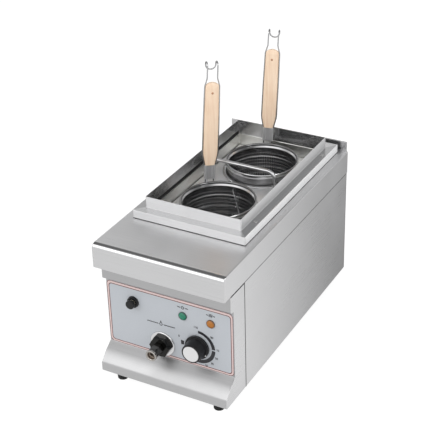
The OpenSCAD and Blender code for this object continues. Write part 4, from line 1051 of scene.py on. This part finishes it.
def basket_wall(name, y, seam):
    """Perforated basket: the sheet of cells rolled up, (u, v) to angle 360 u and height, with ribs pressed in
    by a cosine of the height; a round lower edge; and a base of cells spread from the square to the disc,
    where the larger of |a| and |b| becomes the radius. A seam is a slanting strip on the inside, whose angle
    runs evenly with the height."""
    low, high = low_high(name + "_basket_wall")
    body, node = name + "_basket", name + "_basket_wall"
    r = wall_radius(name)
    edge, sheet, seam_half, seam_sheet = 0.01, 0.001, 0.0007, 0.0006
    z0, z1 = low[2] + edge, low_high("basket_plate")[1][2] + 0.006
    rows = int(round((z1 - z0) / (2 * np.pi * r / COLUMNS)))
    flat, faces = hole_cells(rows, COLUMNS)
    angle = 2 * np.pi * flat[:, 0]
    rise = (z1 - z0) * flat[:, 1]
    wave = r - PRESSED * (1 - np.cos(2 * np.pi * (z1 - z0 - rise) / RIB)) / 2
    side = (np.column_stack([wave * np.cos(angle), wave * np.sin(angle), z0 + rise]), [faces])
    top = turned([[r, z1], [r, low_high(name + "_basket_rim")[1][2] - BEVEL_FOOT]], 2 * COLUMNS)
    cos, sin = arc(-90, 0, 6)
    bottom = turned(np.column_stack([r - edge + edge * cos, low[2] + edge + edge * sin]), 2 * COLUMNS)
    flat, faces = hole_cells(COLUMNS // 4, COLUMNS // 4)
    a, b = (2 * flat - 1).T
    wide = np.abs(a) >= np.abs(b)
    reach = np.where(wide, a, b)
    share = np.where(wide, b, a) / np.where(reach == 0, 1, reach)
    spread = np.where(wide, np.pi / 4 * share, np.pi / 2 - np.pi / 4 * share)
    disc = (r - edge) * reach
    disc = np.column_stack([disc * np.cos(spread), disc * np.sin(spread)])
    base = (at_height(disc, low[2]), [faces[:, ::-1]])
    place = Matrix.Translation((0, y, 0))
    shape = moved(joined(side, top, bottom, base), place)
    piece(name + " basket wall", shape, "basket_steel", body, node, sheet=sheet)
    if seam is None:
        return
    inner = r - INSIDE_WALL - PRESSED
    steps = 24
    z = np.linspace(high[2] - 0.012, z0, steps)
    middle = np.radians(np.linspace(*seam, steps))
    edges = (middle - seam_half / inner, middle + seam_half / inner)
    rows = [np.column_stack([inner * np.cos(turn), inner * np.sin(turn), z]) for turn in edges]
    strip = moved((np.concatenate(rows), [quads(2, steps)]), place)
    piece(name + " basket seam", strip, "seam_steel", body, like=node, sheet=seam_sheet)


def basket_rim(name, y):
    """Turned rim: a hoop whose outside and inside are half ellipses, a bevel that leads into the wall, and a
    stop ring whose top is half an ellipse. The hoop's inside and the sleeve are a darker copy of the rim's
    steel: painted shade under and inside the hoop."""
    low, high = low_high(name + "_basket_rim")
    body, node = name + "_basket", name + "_basket_rim"
    inner = wall_radius(name) - INSIDE_WALL
    outer = (high[0] - low[0]) / 2
    band = outer - STOP_W
    hoop = band + 2 * RIM_WIRE_R
    hoop_h, inside_h, half_hoop, proud, overlap = 0.0105, 0.0058, 0.0016, 0.0004, 0.001
    top, under = high[2], high[2] - hoop_h
    crest = hoop - half_hoop
    cos, sin = arc(-90, 90, 16)
    outside = np.column_stack([crest + (hoop - crest) * cos, (top + under) / 2 + (top - under) / 2 * sin])
    bulge, bevel = band - proud, top - inside_h
    inside = np.column_stack([crest - (crest - bulge) * cos, (top + bevel) / 2 + (top - bevel) / 2 * sin])
    hoop_line = np.vstack([[[band + BAND_T, under - overlap]], outside])
    bevel_line = [[crest, bevel], [inner, top - BEVEL_FOOT], [inner, top - BEVEL_FOOT - overlap]]
    bead = (band + BAND_T + outer) / 2
    cos, sin = arc(0, 180, 16)
    stop = np.column_stack([bead + (outer - bead) * cos, low[2] + STOP_T * sin])
    stop = np.vstack([[[band, low[2]]], stop])
    place = Matrix.Translation((0, y, 0))
    bright = joined(turned(hoop_line, 128), turned(bevel_line, 128), turned(stop, 128))
    piece(name + " basket rim", moved(bright, place), "rim_steel", body, node, sharp=25)
    sleeve = [[band, under], [band, low[2]], [band + BAND_T, low[2]], [band + BAND_T, under]]
    shaded_copy = joined(turned(inside[::-1], 128), turned(sleeve, 128))
    piece(name + " basket sleeve", moved(shaded_copy, place), "sleeve_steel", body, like=node)


def wire_leg():
    """Right-hand wire of the handle up to its fold, bent smoothly along the grip's edge."""
    below_grip = 0.008
    corners = [[FERRULE_X, 0, WIRE_FOOT], [FERRULE_X, 0, GRIP_Z - below_grip], [GRIP_FOOT_X, 0, GRIP_Z],
               [GRIP_X, 0, TAPER_Z], [GRIP_X, 0, (TAPER_Z + CROWN_Z) / 2], [SHOULDER_X, 0, CROWN_Z],
               [NECK_X, 0, NECK_Z], [NECK_X, 0, FOLD_Z]]
    return rounded(corners, [0, 0.01, 0.01, 0.07, 0.02, 0.02, 0.02, 0], 8)


def handle(name, y, turn):
    """Handle behind a basket's rim: one wire folded over at the top into a hook, and between its legs the
    flat steel ferrule, the wooden grip and its pin. A section of the grip is the curve
    (w |cos a|^0.5, t |sin a|^0.5) with the signs kept, where the half width w stays beside the wire and
    closes in half an ellipse at the top."""
    around = Matrix.Translation((0, y, 0)) @ Matrix.Rotation(math.radians(turn), 4, "Z")
    lean = Matrix.Rotation(math.radians(HANDLE_LEAN), 4, "Y")
    place = around @ Matrix.Translation((0, HANDLE_RADIUS, HANDLE_Z)) @ lean
    body = name + "_basket"
    leg = wire_leg()
    cos, sin = arc(180, 0, 20)
    fold = np.column_stack([np.full(len(cos), NECK_X), FOLD_R + FOLD_R * cos, FOLD_Z + FOLD_R * sin])
    cos, sin = arc(0, -180, 24)
    loop = np.column_stack([NECK_X * cos, np.full(len(cos), 2 * FOLD_R), FOLD_Z + NECK_X * sin])
    back = np.vstack([leg, fold[1:]]) * np.array([-1, 1, 1])
    path = np.vstack([leg, fold[1:], loop[1:-1], back[::-1]])
    piece(name + " handle wire", moved(tube(path, WIRE_R), place), "wire_steel", body, body + "_wire")

    rise = GRIP_TOP - CROWN_Z
    quarter = np.radians(np.arange(0, 91, 7.5))
    straight = np.linspace(GRIP_Z, CROWN_Z - 0.002, 44)
    z = np.concatenate([straight, CROWN_Z + rise * np.sin(quarter)])
    beside_wire = np.interp(np.minimum(z, CROWN_Z), leg[:, 2], leg[:, 0]) - WIRE_R - HAIR
    half = beside_wire * np.concatenate([np.ones(len(straight)), np.maximum(np.cos(quarter), 0.04)])
    thick = np.interp(z, [GRIP_Z, GRIP_Z + 0.03, CROWN_Z, GRIP_TOP], [0.0041, 0.005, 0.005, 0.0036])
    angle = np.linspace(0, 2 * np.pi, 40, endpoint=False)
    cos, sin = np.cos(angle), np.sin(angle)
    round_x = np.sign(cos) * np.abs(cos) ** 0.5
    round_y = np.sign(sin) * np.abs(sin) ** 0.5
    rows = [at_height(np.column_stack([w * round_x, t * round_y]), h) for w, t, h in zip(half, thick, z)]
    piece(name + " grip", moved(stacked(rows, caps=True), place), "wood", body, body + "_grip", sharp=50)

    side, face, rib, groove, round_side, round_groove = 0.0125, 0.0035, 0.0055, 0.0015, 0.0034, 0.0004
    quarter_outline = np.array([[side, -face], [side, face], [rib, face], [rib - 0.001, groove]])
    outline = np.vstack([quarter_outline, (quarter_outline * [-1, 1])[:1:-1], -quarter_outline[:2],
                         -quarter_outline[2:], (quarter_outline * [1, -1])[:1:-1]])
    radii = ([round_side] * 2 + [round_groove] * 4) * 2
    shape = extruded(rounded(outline, radii, 5, closed=True), FERRULE_Z, GRIP_Z, CUT_EDGE)
    piece(name + " ferrule", moved(shape, place), "ferrule_steel", body, body + "_ferrule")

    pin_r, pin_half = 0.0025, 0.0055
    end = round_edge(pin_r, pin_half - 0.0006, 0.0017, pin_half, 3)
    pin = np.vstack([[[0, -pin_half]], (end * [1, -1])[::-1], end, [[0, pin_half]]])
    tilt = Matrix.Translation((0, 0, CROWN_Z - PIN_BELOW)) @ Matrix.Rotation(math.radians(90), 4, "X")
    piece(name + " pin", moved(turned(pin, 32), place @ tilt), "copper_pin", body, body + "_pin")


def gland():
    """Cable gland on the rear: a six-sided nut and a turned cap with a round shoulder, a bore and a stub that
    goes in through the panel."""
    low, high = low_high("cable_gland")
    place = on_rear((low[0] + high[0]) / 2, (low[2] + high[2]) / 2)
    nut_across, nut_h, cap_r, top, bore_r, stub_r, stub = 0.024, 0.006, 0.0105, 0.02, 0.005, 0.01, -0.012
    nut = hexed(nut_across, [(0, 0.0132), (0.0008, 0.0139), (0.0052, 0.0139), (nut_h, 0.0122), (nut_h, 0.01)])
    cap = np.vstack([
        [[cap_r, nut_h], [cap_r, 0.012]], round_edge(cap_r, 0.014, 0.0068, top, 6),
        [[bore_r, top], [bore_r, -0.001], [0.0055, -0.001], [0.0055, stub], [stub_r, stub], [stub_r, 0.0]],
    ])
    shape = moved(joined(nut, turned(cap, 64)), place)
    piece("cable gland", shape, "black_plastic", "cooker", "cable_gland")


worktop()
backsplash()
plinth()
collar()
fascia()
cheeks()
side_panels()
feet()
ledge_screws()
overlay()
dial_print()
panel_signs()
knob()
reset()
lamps()
drain()
plate()
lift_bar()
for basket, basket_y in basket_places():
    basket_wall(basket, basket_y, SEAMS[basket])
    basket_rim(basket, basket_y)
    handle(basket, basket_y, BASKETS[basket])
gland()

# CAD nodes that are shown as they are
for node_name, node in frame["nodes"].items():
    node.data.materials.clear()
    node.data.materials.append(LOOKS[NODE_LOOKS.get(node_name, SLOTS[node_name])])

# Stage, light and camera


def floor():
    """Pale floor: partly diffuse, so that shadows stay, and partly white light of its own for the camera and
    for reflections. In reflections it dims from the right towards the rear left, but not at the front."""
    half, slant = 6.0, -1.885
    mesh = bpy.data.meshes.new("floor")
    corners = [(-half, -half, 0), (half, -half, 0), (half, half, 0), (-half, half, 0)]
    mesh.from_pydata(corners, [], [(0, 1, 2, 3)])
    obj = bpy.data.objects.new("floor", mesh)
    bpy.context.scene.collection.objects.link(obj)
    material = bpy.data.materials.new("floor")
    material.use_nodes = True
    tree = material.node_tree
    tree.nodes.clear()
    path = node_in(tree, "ShaderNodeLightPath")
    place = node_in(tree, "ShaderNodeTexCoord")
    split = node_in(tree, "ShaderNodeSeparateXYZ", {0: place.outputs["Object"]})
    slanted = summed(tree, split.outputs["Y"], summed(tree, split.outputs["X"], slant, "MULTIPLY"))
    along_side = ranged(tree, slanted, -0.55, 0.0, 1.12, 0.34)
    behind = ranged(tree, split.outputs["Y"], -0.3, -0.1, 0.0, 1.0)
    shine = node_in(tree, "ShaderNodeMix", {0: behind, 2: 1.0, 3: along_side}, data_type="FLOAT")
    matt = node_in(tree, "ShaderNodeBsdfDiffuse", {"Color": (0.9, 0.9, 0.9, 1)})
    white = node_in(tree, "ShaderNodeEmission", {"Strength": 1.25})
    dimmed = node_in(tree, "ShaderNodeEmission", {"Strength": shine.outputs[0]})
    for_camera = node_in(tree, "ShaderNodeMixShader", {0: 0.7, 1: matt.outputs[0], 2: white.outputs[0]})
    for_mirror = node_in(tree, "ShaderNodeMixShader", {0: 0.8, 1: matt.outputs[0], 2: dimmed.outputs[0]})
    no_mirror = node_in(tree, "ShaderNodeMixShader",
                        {0: path.outputs["Is Glossy Ray"], 1: matt.outputs[0], 2: for_mirror.outputs[0]})
    mixed = node_in(tree, "ShaderNodeMixShader",
                    {0: path.outputs["Is Camera Ray"], 1: no_mirror.outputs[0], 2: for_camera.outputs[0]})
    output = tree.nodes.new("ShaderNodeOutputMaterial")
    link(tree, mixed.outputs[0], output.inputs["Surface"])
    obj.data.materials.append(material)


def world():
    """Studio round the object: white for the camera. Other rays see it bright at the front, more so higher
    up; at the rear it is bright at the horizon, grey above it and dark overhead, and dimmer to the right."""
    scene = bpy.context.scene
    scene.world = bpy.data.worlds.new("studio")
    scene.world.use_nodes = True
    tree = scene.world.node_tree
    tree.nodes.clear()
    place = node_in(tree, "ShaderNodeTexCoord")
    split = node_in(tree, "ShaderNodeSeparateXYZ", {0: place.outputs["Generated"]})
    horizon = ranged(tree, split.outputs["Z"], 0.0, 0.42, 1.25, 1.0)
    overhead = ranged(tree, split.outputs["Z"], 0.46, 0.72, 1.0, 0.18)
    to_right = ranged(tree, split.outputs["X"], 0.0, 0.4, 1.0, 0.7)
    rear = summed(tree, summed(tree, horizon, overhead, "MULTIPLY"), to_right, "MULTIPLY")
    front = ranged(tree, split.outputs["Z"], 0.05, 0.45, 0.85, 1.55)
    turn = ranged(tree, split.outputs["Y"], -0.5, -0.2, 0.0, 1.0)
    strength = node_in(tree, "ShaderNodeMix", {0: turn, 2: front, 3: rear}, data_type="FLOAT").outputs[0]
    soft = node_in(tree, "ShaderNodeBackground", {"Strength": strength, "Color": (1, 1, 1, 1)})
    seen = node_in(tree, "ShaderNodeBackground", {"Strength": 1.0, "Color": (1, 1, 1, 1)})
    path = node_in(tree, "ShaderNodeLightPath")
    mixed = node_in(tree, "ShaderNodeMixShader",
                    {0: path.outputs["Is Camera Ray"], 1: soft.outputs[0], 2: seen.outputs[0]})
    output = tree.nodes.new("ShaderNodeOutputWorld")
    link(tree, mixed.outputs[0], output.inputs["Surface"])


def lamp(name, place, target, width, depth, power):
    """Soft oblong light at a place, facing a target."""
    data = bpy.data.lights.new(name, "AREA")
    data.shape = "RECTANGLE"
    data.size = width
    data.size_y = depth
    data.energy = power
    obj = bpy.data.objects.new(name, data)
    obj.location = place
    obj.rotation_euler = (Vector(target) - Vector(place)).to_track_quat("-Z", "Y").to_euler()
    bpy.context.scene.collection.objects.link(obj)


def camera():
    """Camera at the photo's angle: azimuth and elevation of the line of sight, and a small roll."""
    azimuth, elevation, roll = np.radians([27.88, 28.27, -0.99])
    level_part = math.cos(elevation)
    back = Vector((math.sin(azimuth) * level_part, -math.cos(azimuth) * level_part, math.sin(elevation)))
    right = Vector((math.cos(azimuth), math.sin(azimuth), 0))
    up = back.cross(right)
    tilted_right = right * math.cos(roll) + up * math.sin(roll)
    tilted_up = up * math.cos(roll) - right * math.sin(roll)
    data = bpy.data.cameras.new("camera")
    data.sensor_width = 36
    data.lens = 96.23
    data.shift_x = -0.0461
    data.shift_y = -0.0741
    data.clip_end = 50
    obj = bpy.data.objects.new("camera", data)
    turn = Matrix((tilted_right, tilted_up, back)).transposed().to_4x4()
    obj.matrix_world = Matrix.Translation((1.0539, -1.9407, 1.5379)) @ turn
    bpy.context.scene.collection.objects.link(obj)
    bpy.context.scene.camera = obj


floor()
world()
lamp("front", (-0.9, -1.8, 1.6), (0, -0.25, 0.2), 1.4, 1.0, 4)
lamp("right", (1.5, -0.3, 1.7), (0, 0.05, 0.3), 0.5, 0.5, 8)
camera()
bpy.context.scene.view_settings.view_transform = "Standard"
